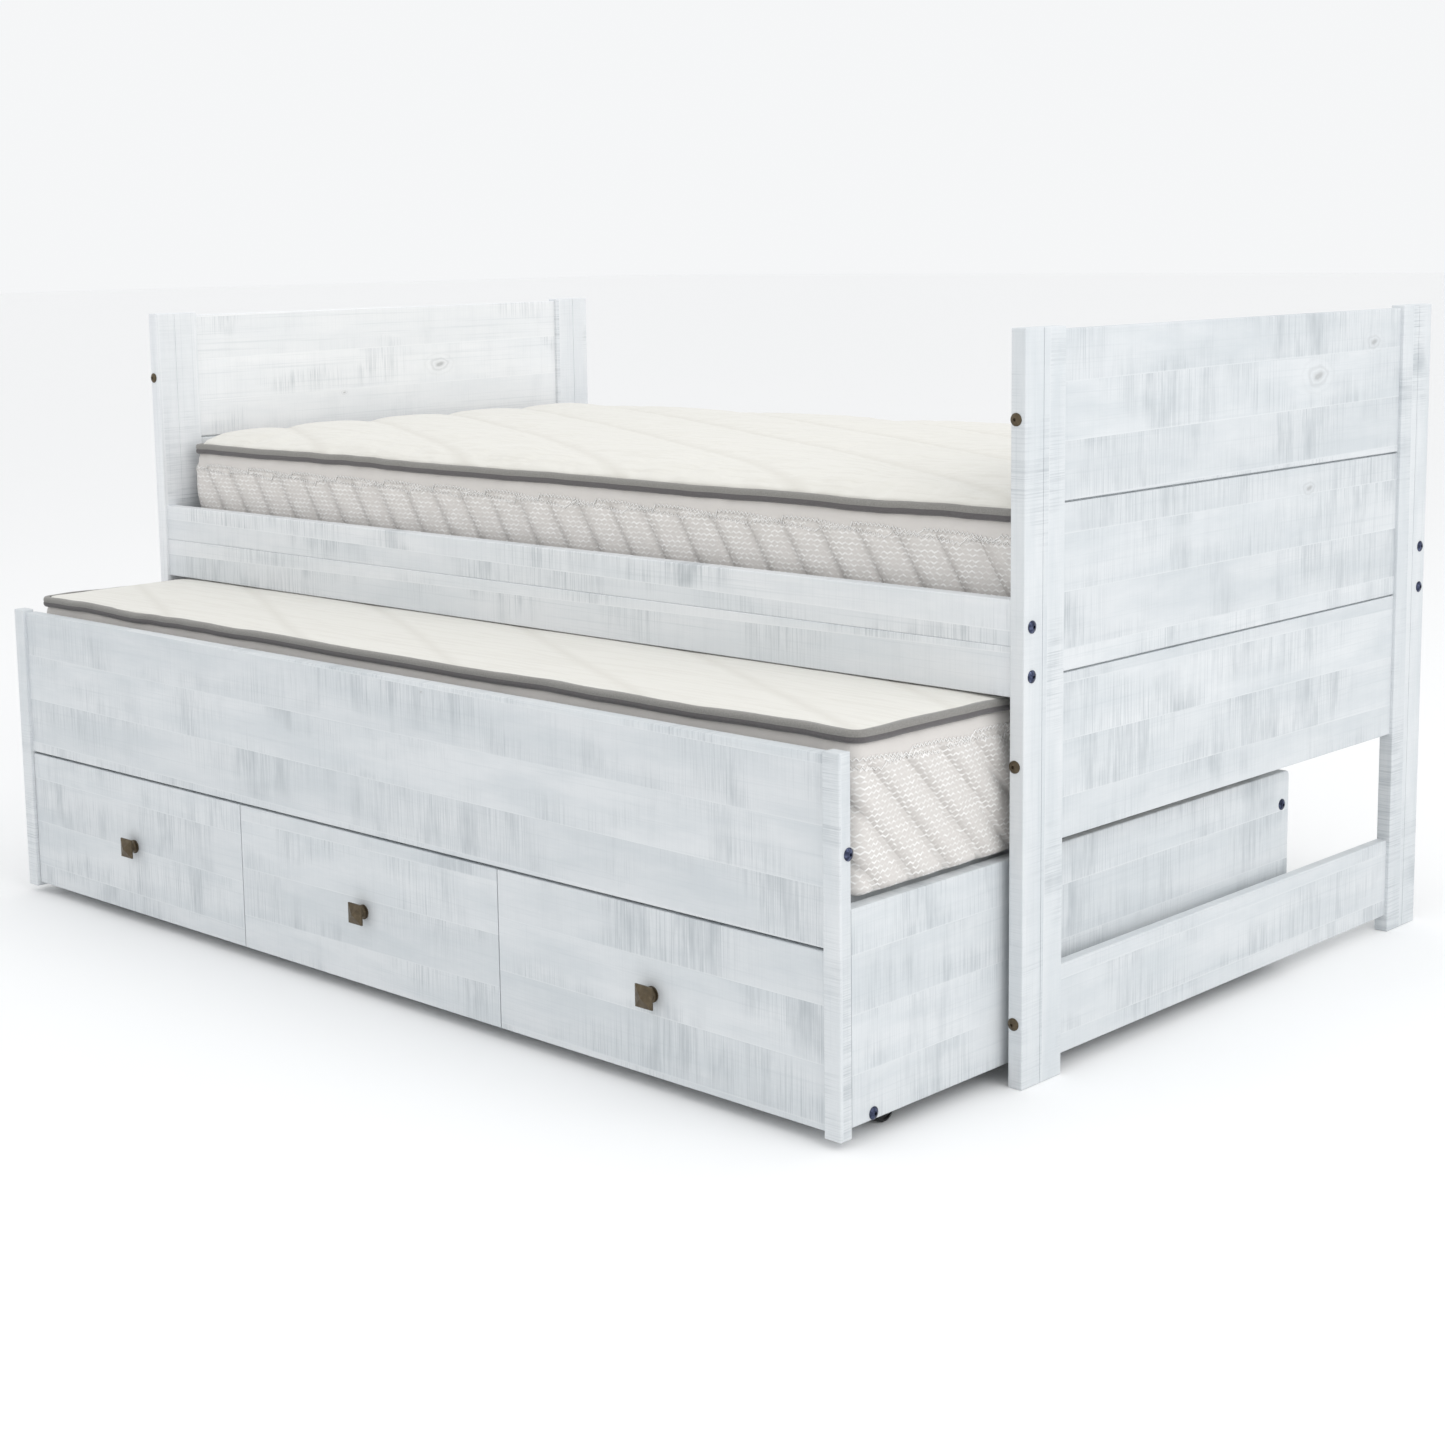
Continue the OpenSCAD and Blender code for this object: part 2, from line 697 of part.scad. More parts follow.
module drawer_box(place) color(wood_inner) difference() {
    groove_x = place * bay - bottom_w / 2 - bottom_clear;
    union() {
        for (sx = [-1, 1])
            translate([place * bay + sx * (box_w - box_t) / 2, drawer_back_y + box_d / 2, box_z])
                board_y(box_d, box_t, box_h, small_edge_r);
        translate([place * bay - box_w / 2 + box_t / 2, box_rear_y - box_t - box_back_in, bottom_z])
            cube([box_w - box_t, box_t, box_z + box_h - small_edge_r - bottom_z]);
    }
    translate([groove_x, drawer_back_y - cut, bottom_z])
        cube([bottom_w + 2 * bottom_clear, box_d + 2 * cut, bottom_t + 2 * bottom_clear]);
}

module drawer_bottom(place) color(wood_inner)
    translate([place * bay - bottom_w / 2, box_rear_y - bottom_l, bottom_z + bottom_clear])
        cube([bottom_w, bottom_l, bottom_t]);

// Side view of the knob's head: square rim under a point
module knob_outline() {
    polygon([
        [-knob_s / 2, 0], [knob_s / 2, 0], [knob_s / 2, knob_rim],
        [0, knob_rim + knob_point], [-knob_s / 2, knob_rim]
    ]);
}

// Half section of the knob's stem: a coved foot and a straight neck
module knob_stem_section(h) {
    cove = (knob_foot_d - knob_neck_d) / 2;
    square([knob_neck_d / 2, h]);
    difference() {
        square([knob_foot_d / 2, cove + knob_foot_t]);
        translate([knob_foot_d / 2, cove + knob_foot_t]) circle(r = cove);
    }
}

module drawer_knob(place) color(bronze) {
    head_z = knob_reach - knob_point - knob_rim;
    translate([place * bay, front_y, knob_z]) rotate([90, 0, 0]) difference() {
        union() {
            translate([0, 0, head_z]) intersection() {
                translate([0, knob_s / 2, 0]) rotate([90, 0, 0])
                    linear_extrude(height = knob_s) knob_outline();
                translate([-knob_s / 2, 0, 0]) rotate([90, 0, 90])
                    linear_extrude(height = knob_s) knob_outline();
            }
            rotate_extrude() knob_stem_section(head_z + cut);
        }
        translate([0, 0, -cut]) cylinder(r = screw_r, h = screw_in_knob + 2 * cut);
    }
}

module drawer_screw(place) color(zinc)
    translate([place * bay, drawer_back_y, knob_z]) rotate([90, 0, 0]) difference() {
        union() {
            cylinder(d = screw_d, h = drawer_t + screw_in_knob);
            translate([0, 0, -screw_head_h]) cylinder(d = screw_head_d, h = screw_head_h);
        }
        for (a = [0, 90])
            rotate([0, 0, a]) translate([-slot_l / 2, -slot_w / 2, -screw_head_h - cut])
                cube([slot_l, slot_w, cut + slot_d]);
    }

post(-1, -1);  // post_front_left
post(1, -1);  // post_front_right
post(-1, 1);  // post_rear_left
post(1, 1);  // post_rear_right
end_board(-1, 0);  // left_board_bottom
end_board(-1, 1);  // left_board_middle
end_board(-1, 2);  // left_board_top
foot_rail(-1);  // left_foot_rail
end_board(1, 0);  // right_board_bottom
end_board(1, 1);  // right_board_middle
end_board(1, 2);  // right_board_top
foot_rail(1);  // right_foot_rail
rail_board(-1, rail_z, rail_lower_h, rail_bolt_z[0]);  // front_rail_lower
rail_board(-1, rail_joint_z, rail_upper_h, rail_bolt_z[1]);  // front_rail_upper
rail_board(1, rail_z, rail_lower_h, rail_bolt_z[0]);  // rear_rail_lower
rail_board(1, rail_joint_z, rail_upper_h, rail_bolt_z[1]);  // rear_rail_upper
bed_ledgers();
bed_slats();
mattress(bed_mid_y, upper_deck_z, upper_mattress_h);  // upper_mattress
trundle_stops();
end_bolts();
end_nuts();
rail_bolts();
rail_nuts();
trundle_post(-1);  // trundle_post_left
trundle_post(1);  // trundle_post_right
trundle_front_panel();
trundle_side(-1);  // trundle_side_left
trundle_side(1);  // trundle_side_right
trundle_back_board();
front_stretcher();
mid_rail();
drawer_dividers();
drawer_runners();
trundle_cleats();
trundle_slats();
mattress(trundle_y + trundle_mattress_in + mattress_w / 2, deck_z, trundle_mattress_h);  // trundle_mattress
trundle_bolts();
trundle_nuts();
caster_brackets();
caster_axles();
wheel(-1, axle_y[0]);  // wheel_front_left
wheel(1, axle_y[0]);  // wheel_front_right
wheel(-1, axle_y[1]);  // wheel_rear_left
wheel(1, axle_y[1]);  // wheel_rear_right
drawer_front(-1);  // left_drawer_front
drawer_box(-1);  // left_drawer_box
drawer_bottom(-1);  // left_drawer_bottom
drawer_knob(-1);  // left_drawer_knob
drawer_screw(-1);  // left_drawer_screw
drawer_front(0);  // middle_drawer_front
drawer_box(0);  // middle_drawer_box
drawer_bottom(0);  // middle_drawer_bottom
drawer_knob(0);  // middle_drawer_knob
drawer_screw(0);  // middle_drawer_screw
drawer_front(1);  // right_drawer_front
drawer_box(1);  // right_drawer_box
drawer_bottom(1);  // right_drawer_bottom
drawer_knob(1);  // right_drawer_knob
drawer_screw(1);  // right_drawer_screw
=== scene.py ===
import math

import bpy
import numpy as np
from mathutils import Matrix, Vector, noise


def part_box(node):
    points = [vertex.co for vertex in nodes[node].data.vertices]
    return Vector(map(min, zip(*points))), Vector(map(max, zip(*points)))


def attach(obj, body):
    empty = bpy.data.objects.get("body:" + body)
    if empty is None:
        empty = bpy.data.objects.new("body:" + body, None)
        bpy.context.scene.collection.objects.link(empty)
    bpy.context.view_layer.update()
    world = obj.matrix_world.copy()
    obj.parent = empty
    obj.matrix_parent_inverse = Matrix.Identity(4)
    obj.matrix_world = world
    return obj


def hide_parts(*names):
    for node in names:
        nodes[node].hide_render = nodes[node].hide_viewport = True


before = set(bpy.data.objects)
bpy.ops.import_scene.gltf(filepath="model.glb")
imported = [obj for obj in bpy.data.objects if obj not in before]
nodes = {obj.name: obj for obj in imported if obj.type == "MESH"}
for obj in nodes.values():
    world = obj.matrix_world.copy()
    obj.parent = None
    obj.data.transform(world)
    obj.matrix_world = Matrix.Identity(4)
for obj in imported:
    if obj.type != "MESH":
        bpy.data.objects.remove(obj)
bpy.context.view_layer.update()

# whitewashed trundle bed: boards, two mattresses, hardware, then light and camera
mm = 0.001


def boxOf(name):
    low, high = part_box(name)
    return Vector(low), Vector(high)


def hexToLinear(code):
    channels = [int(code[i:i + 2], 16) / 255 for i in (0, 2, 4)]
    linear = [c / 12.92 if c <= 0.04045 else ((c + 0.055) / 1.055) ** 2.4 for c in channels]
    return (*linear, 1.0)


# adds one node; a socket given as a value is linked, anything else is set
def addNode(tree, kind, inputs=None, **settings):
    node = tree.nodes.new(kind)
    for name, value in settings.items():
        setattr(node, name, value)
    for name, value in (inputs or {}).items():
        if isinstance(value, bpy.types.NodeSocket):
            tree.links.new(value, node.inputs[name])
        else:
            node.inputs[name].default_value = value
    return node


def startMaterial(name):
    material = bpy.data.materials.new(name)
    material.use_nodes = True
    tree = material.node_tree
    tree.nodes.clear()
    return material, tree


def finishMaterial(tree, shader):
    addNode(tree, "ShaderNodeOutputMaterial", {"Surface": shader.outputs[0]})


# pine strips glued into boards, band-sawn, then brushed with a thin white wash: the wash
# stays off the saw's ridges, so grey strokes run across the grain and stop at each strip
pine = {
    "washWithPaintedLight": "dfe2e4",         # where the wash lies thick
    "thinWithPaintedLight": "d2d7da",         # where it was wiped thin
    "grey": "b4babe",         # grey undercoat showing in the patches
    "sawMark": "b1b7bb",      # ridges left by the saw
    "grainLine": "bcc3c7",
    "knotRing": "b1b3b4",
    "knotHeart": "9a9a99",
    "sawPitch": 2.2 * mm,     # saw strokes are near 1 mm apart, drawn coarser so that they show
    "sawLength": 140 * mm,
    "patchLength": 46 * mm,   # a patch is part of one turn of the blade
    "patchWidth": 190 * mm,
    "beatLength": 230 * mm,
    "grainWidth": 3.4 * mm,   # growth rings, 2 to 4 mm
    "grainLength": 420 * mm,
    "stripWidth": 79 * mm,
    "stripLean": 0.011,       # strips run a little off the board's own line
    "glueLine": 0.03,         # share of a strip that the glue line's fresh wash covers
    "driftScale": (3.0, 14.0, 14.0),  # the wash thins over 330 mm along a board and 70 mm across
    "patchStrength": 0.9,
    "sawStrength": 0.72,
    "grainStrength": 0.4,
    "glueStrength": 0.7,
    "knotRings": 16.0,        # ripples for each knot size, about five rings
    "relief": 0.6 * mm,
    "roughness": 0.55,
    "polish": (-0.08, 0.12),  # thick wash is smoother than bare wood
}
# which object axes run along the grain, across it and into the board
grainOrder = {"X": ("X", "Z", "Y"), "Y": ("Y", "Z", "X"), "Z": ("Z", "Y", "X"), "slat": ("Y", "X", "Z")}


# cloudy: how grey the patches go; sawn: how much of the board shows the saw; bare: how far the
# grain comes through the wash; a knot is its place along and across the board and its size
# wash and thin: the colours of thick and thin wash; the left end passes paler ones as painted light
def whitewashedPine(name, grain, seed, cloudy=0.5, sawn=0.5, knots=(), bare=0.0,
                    washWithPaintedLight=pine["washWithPaintedLight"], thinWithPaintedLight=pine["thinWithPaintedLight"]):
    material, tree = startMaterial(name)
    place = addNode(tree, "ShaderNodeTexCoord")
    split = addNode(tree, "ShaderNodeSeparateXYZ", {0: place.outputs["Object"]})
    along, across, deep = (split.outputs[axis] for axis in grainOrder[grain])

    # strips: not quite parallel to the board, each with its own tone and its own saw marks
    leaning = addNode(tree, "ShaderNodeMath", {0: along, 1: pine["stripLean"] * math.sin(seed * 2.1),
        2: across}, operation="MULTIPLY_ADD")
    strip = addNode(tree, "ShaderNodeMath", {0: leaning.outputs[0], 1: 1 / pine["stripWidth"],
        2: seed * 0.61}, operation="MULTIPLY_ADD")
    stripIndex = addNode(tree, "ShaderNodeMath", {0: strip.outputs[0]}, operation="FLOOR")
    stripTone = addNode(tree, "ShaderNodeTexWhiteNoise", {"W": stripIndex.outputs[0]},
        noise_dimensions="1D")
    stripPlace = addNode(tree, "ShaderNodeMath", {0: strip.outputs[0]}, operation="FRACT")
    glueLine = addNode(tree, "ShaderNodeMapRange", {"Value": stripPlace.outputs[0],
        "From Min": pine["glueLine"], "From Max": 0.0})
    kicked = addNode(tree, "ShaderNodeMath", {0: stripTone.outputs["Value"], 1: 9.7, 2: along},
        operation="MULTIPLY_ADD")
    shifted = addNode(tree, "ShaderNodeMath", {0: kicked.outputs[0], 1: seed * 1.37}, operation="ADD")
    board = addNode(tree, "ShaderNodeCombineXYZ", {0: shifted.outputs[0], 1: across, 2: deep})
    vector = board.outputs[0]

    # saw strokes, and the patches that they gather in
    sawPlace = addNode(tree, "ShaderNodeMapping", {"Vector": vector,
        "Scale": (1 / pine["sawPitch"], 1 / pine["sawLength"], 1 / pine["sawLength"])})
    saw = addNode(tree, "ShaderNodeTexNoise", {"Vector": sawPlace.outputs[0], "Scale": 1.0, "Detail": 3.0,
        "Roughness": 0.65})
    patchPlace = addNode(tree, "ShaderNodeMapping", {"Vector": vector,
        "Scale": (1 / pine["patchLength"], 1 / pine["patchWidth"], 1 / pine["patchWidth"])})
    patch = addNode(tree, "ShaderNodeTexNoise", {"Vector": patchPlace.outputs[0], "Scale": 1.0,
        "Detail": 4.0, "Roughness": 0.6})
    beatPlace = addNode(tree, "ShaderNodeMapping", {"Vector": vector,
        "Scale": (1 / pine["beatLength"], 2 / pine["beatLength"], 2 / pine["beatLength"])})
    beat = addNode(tree, "ShaderNodeTexNoise", {"Vector": beatPlace.outputs[0], "Scale": 1.0, "Detail": 2.0,
        "Roughness": 0.5})
    beatMask = addNode(tree, "ShaderNodeMapRange", {"Value": beat.outputs["Fac"],
        "From Min": 0.58 - 0.22 * sawn, "From Max": 0.70 - 0.14 * sawn, "To Min": 0.12})
    rough = addNode(tree, "ShaderNodeMath", {0: saw.outputs["Fac"], 1: 0.28, 2: patch.outputs["Fac"]},
        operation="MULTIPLY_ADD")
    ragged = addNode(tree, "ShaderNodeMapRange", {"Value": rough.outputs[0],
        "From Min": 0.66 - 0.06 * cloudy,
        "From Max": 0.92 - 0.06 * cloudy, "To Max": pine["patchStrength"]})
    patchShare = addNode(tree, "ShaderNodeMath", {0: ragged.outputs[0], 1: beatMask.outputs[0]},
        operation="MULTIPLY")
    sawMask = addNode(tree, "ShaderNodeMapRange", {"Value": saw.outputs["Fac"], "From Min": 0.46,
        "From Max": 0.72, "To Max": pine["sawStrength"]})
    sawShare = addNode(tree, "ShaderNodeMath", {0: sawMask.outputs[0], 1: beatMask.outputs[0]},
        operation="MULTIPLY")

    # grain lines, and the broad drift of the wash
    grainPlace = addNode(tree, "ShaderNodeMapping", {"Vector": vector,
        "Scale": (1 / pine["grainLength"], 1 / pine["grainWidth"], 1 / pine["grainWidth"])})
    lines = addNode(tree, "ShaderNodeTexNoise", {"Vector": grainPlace.outputs[0], "Scale": 1.0,
        "Detail": 4.0, "Roughness": 0.55, "Distortion": 0.4})
    lineMask = addNode(tree, "ShaderNodeMapRange", {"Value": lines.outputs["Fac"], "From Min": 0.56,
        "From Max": 0.80, "To Max": pine["grainStrength"] + bare})
    driftPlace = addNode(tree, "ShaderNodeMapping", {"Vector": vector, "Scale": pine["driftScale"]})
    drift = addNode(tree, "ShaderNodeTexNoise", {"Vector": driftPlace.outputs[0], "Scale": 1.0,
        "Detail": 5.0, "Roughness": 0.65})
    driftMask = addNode(tree, "ShaderNodeMapRange", {"Value": drift.outputs["Fac"], "From Min": 0.36,
        "From Max": 0.62})

    tint = addNode(tree, "ShaderNodeMix", {"Factor": driftMask.outputs[0], "A": hexToLinear(thinWithPaintedLight),
        "B": hexToLinear(washWithPaintedLight)}, data_type="RGBA")
    toned = addNode(tree, "ShaderNodeMath", {0: stripTone.outputs["Value"], 1: 0.12 + 0.16 * cloudy},
        operation="MULTIPLY")
    stripped = addNode(tree, "ShaderNodeMix", {"Factor": toned.outputs[0], "A": tint.outputs["Result"],
        "B": hexToLinear(pine["grey"])}, data_type="RGBA")
    grained = addNode(tree, "ShaderNodeMix", {"Factor": lineMask.outputs[0],
        "A": stripped.outputs["Result"], "B": hexToLinear(pine["grainLine"])}, data_type="RGBA")
    patched = addNode(tree, "ShaderNodeMix", {"Factor": patchShare.outputs[0],
        "A": grained.outputs["Result"], "B": hexToLinear(pine["grey"])}, data_type="RGBA")
    sawed = addNode(tree, "ShaderNodeMix", {"Factor": sawShare.outputs[0], "A": patched.outputs["Result"],
        "B": hexToLinear(pine["sawMark"])}, data_type="RGBA")
    glued = addNode(tree, "ShaderNodeMath", {0: glueLine.outputs[0], 1: pine["glueStrength"]},
        operation="MULTIPLY")
    colour = addNode(tree, "ShaderNodeMix", {"Factor": glued.outputs[0], "A": sawed.outputs["Result"],
        "B": hexToLinear(washWithPaintedLight)}, data_type="RGBA").outputs["Result"]

    # knots: rings squeezed along the grain, with a darker heart
    for knotAlong, knotAcross, knotSize in knots:
        near = addNode(tree, "ShaderNodeCombineXYZ", {0: along, 1: across})
        offset = addNode(tree, "ShaderNodeVectorMath", {0: near.outputs[0], 1: (knotAlong, knotAcross, 0)},
            operation="SUBTRACT")
        squeezed = addNode(tree, "ShaderNodeVectorMath",
            {0: offset.outputs[0], 1: (0.55 / knotSize, 1 / knotSize, 0)}, operation="MULTIPLY")
        stir = addNode(tree, "ShaderNodeTexNoise", {"Vector": squeezed.outputs[0], "Scale": 1.3,
            "Detail": 2.0})
        bent = addNode(tree, "ShaderNodeVectorMath", {0: stir.outputs["Color"], 1: (0.5, 0.5, 0),
            2: squeezed.outputs[0]}, operation="MULTIPLY_ADD")
        centred = addNode(tree, "ShaderNodeVectorMath", {0: bent.outputs[0], 1: (0.25, 0.25, 0)},
            operation="SUBTRACT")
        radius = addNode(tree, "ShaderNodeVectorMath", {0: centred.outputs[0]}, operation="LENGTH")
        ring = addNode(tree, "ShaderNodeMath", {0: radius.outputs["Value"], 1: pine["knotRings"]},
            operation="MULTIPLY")
        ripple = addNode(tree, "ShaderNodeMath", {0: ring.outputs[0]}, operation="SINE")
        fade = addNode(tree, "ShaderNodeMapRange", {"Value": radius.outputs["Value"], "From Min": 1.0,
            "From Max": 0.25, "To Max": 0.4})
        rings = addNode(tree, "ShaderNodeMapRange", {"Value": ripple.outputs[0], "From Min": -0.4,
            "From Max": 1.0})
        ringShare = addNode(tree, "ShaderNodeMath", {0: fade.outputs[0], 1: rings.outputs[0]},
            operation="MULTIPLY")
        ringed = addNode(tree, "ShaderNodeMix", {"Factor": ringShare.outputs[0], "A": colour,
            "B": hexToLinear(pine["knotRing"])}, data_type="RGBA")
        heart = addNode(tree, "ShaderNodeMapRange", {"Value": radius.outputs["Value"], "From Min": 0.36,
            "From Max": 0.10, "To Max": 0.45})
        colour = addNode(tree, "ShaderNodeMix", {"Factor": heart.outputs[0], "A": ringed.outputs["Result"],
            "B": hexToLinear(pine["knotHeart"])}, data_type="RGBA").outputs["Result"]

    relief = addNode(tree, "ShaderNodeMath", {0: saw.outputs["Fac"], 1: 0.9, 2: lines.outputs["Fac"]},
        operation="MULTIPLY_ADD")
    bump = addNode(tree, "ShaderNodeBump", {"Height": relief.outputs[0], "Strength": 0.22,
        "Distance": pine["relief"]})
    gloss = addNode(tree, "ShaderNodeMapRange", {"Value": patch.outputs["Fac"],
        "To Min": pine["roughness"] + pine["polish"][0], "To Max": pine["roughness"] + pine["polish"][1]})
    shader = addNode(tree, "ShaderNodeBsdfPrincipled", {"Base Color": colour, "Roughness": gloss.outputs[0],
        "Normal": bump.outputs[0], "IOR": 1.46})
    finishMaterial(tree, shader)
    return material


def dress(name, material):
    node = nodes[name]
    node.data.materials.clear()
    node.data.materials.append(material)


# the left end's posts, boards and foot rail take paler colours than the right end: painted light for the
# inner face of the left end
boards = {
    "post_front_left": dict(grain="Z", seed=1, cloudy=0.2, sawn=0.35, washWithPaintedLight="eff1f3", thinWithPaintedLight="e6e9ec"),
    "post_front_right": dict(grain="Z", seed=2, cloudy=0.25, sawn=0.2),
    "post_rear_left": dict(grain="Z", seed=3, cloudy=0.2, sawn=0.35, washWithPaintedLight="eff1f3", thinWithPaintedLight="e6e9ec"),
    "post_rear_right": dict(grain="Z", seed=4, cloudy=0.3, sawn=0.5),
    "left_board_top": dict(grain="Y", seed=5, cloudy=0.0, sawn=0.0,
        knots=((0.31, 0.905, 0.024), (0.06, 0.86, 0.008)), washWithPaintedLight="f6f7f8", thinWithPaintedLight="eff1f3"),
    "left_board_middle": dict(grain="Y", seed=6, cloudy=0.1, sawn=0.05, washWithPaintedLight="f2f4f5", thinWithPaintedLight="eaedef"),
    "left_board_bottom": dict(grain="Y", seed=7, cloudy=0.2, sawn=0.3, washWithPaintedLight="eff1f3", thinWithPaintedLight="e7eaec"),
    "right_board_top": dict(grain="Y", seed=8, cloudy=0.4, sawn=0.75,
        knots=((0.38, 0.93, 0.03), (0.55, 0.975, 0.02))),
    "right_board_middle": dict(grain="Y", seed=9, cloudy=0.5, sawn=0.85, knots=((0.36, 0.76, 0.018),)),
    "right_board_bottom": dict(grain="Y", seed=10, cloudy=0.5, sawn=0.7),
    "left_foot_rail": dict(grain="Y", seed=11, cloudy=0.3, sawn=0.5, washWithPaintedLight="e9ecee", thinWithPaintedLight="dfe3e6"),
    "right_foot_rail": dict(grain="Y", seed=12, cloudy=0.3, sawn=0.6),
    "front_rail_upper": dict(grain="X", seed=13, cloudy=0.35, sawn=0.4, washWithPaintedLight="ebedef", thinWithPaintedLight="e0e4e7"),
    "front_rail_lower": dict(grain="X", seed=14, cloudy=0.3, sawn=0.4, washWithPaintedLight="e9ebed", thinWithPaintedLight="dfe3e6"),
    "rear_rail_upper": dict(grain="X", seed=15, cloudy=0.4, sawn=0.5),
    "rear_rail_lower": dict(grain="X", seed=16, cloudy=0.4, sawn=0.5),
    "trundle_post_left": dict(grain="Z", seed=17, cloudy=0.3, sawn=0.6),
    "trundle_post_right": dict(grain="Z", seed=18, cloudy=0.3, sawn=0.7),
    "trundle_front_panel": dict(grain="X", seed=19, cloudy=0.35, sawn=0.6, knots=((0.154, 0.498, 0.006),)),
    "trundle_side_left": dict(grain="Y", seed=20, cloudy=0.3, sawn=0.8),
    "trundle_side_right": dict(grain="Y", seed=21, cloudy=0.35, sawn=0.8),
    "left_drawer_front": dict(grain="X", seed=22, cloudy=0.35, sawn=0.6),
    "middle_drawer_front": dict(grain="X", seed=23, cloudy=0.35, sawn=0.6),
    "right_drawer_front": dict(grain="X", seed=24, cloudy=0.3, sawn=0.6),
}
print("timber")
for name, look in boards.items():
    dress(name, whitewashedPine("whitewashedPine_" + name, **look))
# hidden rails, boxes and slats: the same pine with a thinner wash, so more grain shows
sawnLong = whitewashedPine("sawnPineRails", "X", 31, 0.4, 0.4, bare=0.2)
sawnAcross = whitewashedPine("sawnPineBoxes", "Y", 32, 0.4, 0.4, bare=0.2)
sawnSlat = whitewashedPine("sawnPineSlats", "slat", 33, 0.4, 0.4, bare=0.25)
for name in ("bed_ledgers", "trundle_back_board", "front_stretcher", "mid_rail", "trundle_cleats"):
    dress(name, sawnLong)
for name in ("drawer_dividers", "drawer_runners"):
    dress(name, sawnAcross)
for name in ("bed_slats", "trundle_slats"):
    dress(name, sawnSlat)
for side in ("left", "middle", "right"):
    dress(side + "_drawer_box", sawnAcross)
    dress(side + "_drawer_bottom", sawnLong)

print("hardware")
hardware = {
    "bronze": {"colour": "5b503f", "rubbed": "857862", "dirt": "2b251f", "metallic": 0.7, "roughness": 0.40,
        "grain": 9 * mm, "blotchy": 0.4},
    "blued": {"colour": "43495f", "rubbed": "7c84a3", "dirt": "1c1d26", "metallic": 1.0, "roughness": 0.24,
        "grain": 6 * mm, "blotchy": 1.0},
    "zinc": {"colour": "a9adb0", "rubbed": "c9cccd", "dirt": "6f7375", "metallic": 1.0, "roughness": 0.34,
        "grain": 5 * mm, "blotchy": 1.0},
    "plastic": {"colour": "17181a", "rubbed": "2b2d30", "dirt": "101112", "metallic": 0.0,
        "roughness": 0.46, "grain": 8 * mm, "blotchy": 1.0},
    "rubber": {"colour": "131415", "rubbed": "242526", "dirt": "0d0e0e", "metallic": 0.0, "roughness": 0.66,
        "grain": 4 * mm, "blotchy": 1.0},
}


def hardFinish(name, look):
    material, tree = startMaterial(name)
    place = addNode(tree, "ShaderNodeTexCoord")
    blotch = addNode(tree, "ShaderNodeTexNoise", {"Vector": place.outputs["Object"],
        "Scale": 1 / look["grain"], "Detail": 4.0, "Roughness": 0.6})
    dark = addNode(tree, "ShaderNodeMapRange", {"Value": blotch.outputs["Fac"], "From Min": 0.50,
        "From Max": 0.30, "To Max": 0.8 * look["blotchy"]})
    light = addNode(tree, "ShaderNodeMapRange", {"Value": blotch.outputs["Fac"], "From Min": 0.52,
        "From Max": 0.70, "To Max": 0.7 * look["blotchy"]})
    worn = addNode(tree, "ShaderNodeMix", {"Factor": light.outputs[0], "A": hexToLinear(look["colour"]),
        "B": hexToLinear(look["rubbed"])}, data_type="RGBA")
    tint = addNode(tree, "ShaderNodeMix", {"Factor": dark.outputs[0], "A": worn.outputs["Result"],
        "B": hexToLinear(look["dirt"])}, data_type="RGBA")
    rough = addNode(tree, "ShaderNodeMapRange", {"Value": blotch.outputs["Fac"],
        "To Min": look["roughness"] + 0.12, "To Max": look["roughness"] - 0.08})
    bump = addNode(tree, "ShaderNodeBump", {"Height": blotch.outputs["Fac"], "Strength": 0.12,
        "Distance": 0.2 * mm})
    shader = addNode(tree, "ShaderNodeBsdfPrincipled", {"Base Color": tint.outputs["Result"],
        "Roughness": rough.outputs[0], "Normal": bump.outputs[0], "Metallic": look["metallic"]})
    finishMaterial(tree, shader)
    return material


# cast zinc alloy washed brown: the raised facets are rubbed back to olive bronze
agedBronze = hardFinish("agedBronze", hardware["bronze"])
# oil-blued steel: near black, with a hard blue-violet highlight
bluedSteel = hardFinish("oilBluedSteel", hardware["blued"])
# zinc-plated pressings: cool and dull, a little cloudy
zincSteel = hardFinish("zincPlatedSteel", hardware["zinc"])
# moulded nylon wheels: black with a soft sheen
mouldedNylon = hardFinish("mouldedNylon", hardware["plastic"])
# moulded rubber buffers: flat black
mouldedRubber = hardFinish("mouldedRubber", hardware["rubber"])
for name in ("end_bolts", "left_drawer_knob", "middle_drawer_knob", "right_drawer_knob"):
    dress(name, agedBronze)
for name in ("rail_bolts", "trundle_bolts"):
    dress(name, bluedSteel)
for name in ("end_nuts", "rail_nuts", "trundle_nuts", "caster_brackets", "caster_axles",
             "left_drawer_screw", "middle_drawer_screw", "right_drawer_screw"):
    dress(name, zincSteel)
for name in ("wheel_front_left", "wheel_front_right", "wheel_rear_left", "wheel_rear_right"):
    dress(name, mouldedNylon)
dress("trundle_stops", mouldedRubber)

ticking = {
    "crown": "e4e2db",        # stretch knit over foam
    # crownShade: painted shade for the crinkle hollows and along the crown's seams
    "crownShade": "d9d6ce",
    "band": "d6d2ce",         # plain border knit
    "stitch": "f5f4f2",       # raised white loops
    "paintedChannelShade": "b1aca8",         # painted shade on the ground in the hollow beside a channel seam
    # painted light and painted shade: one grey tape, painted lighter on its upper half and darker on its
    # lower half
    "tapePaintedLight": "8d8b87",
    "tapePaintedShade": "625f60",
    "thread": "f7f6f4",
    "loopWidth": 11 * mm,     # border loops are near 4 mm, drawn coarser so that they show
    "loopRow": 7.6 * mm,
    "speck": 8 * mm,
    "crinkleLength": 110 * mm,
    "crinkleWidth": 9 * mm,
    "weave": 2.2 * mm,
}


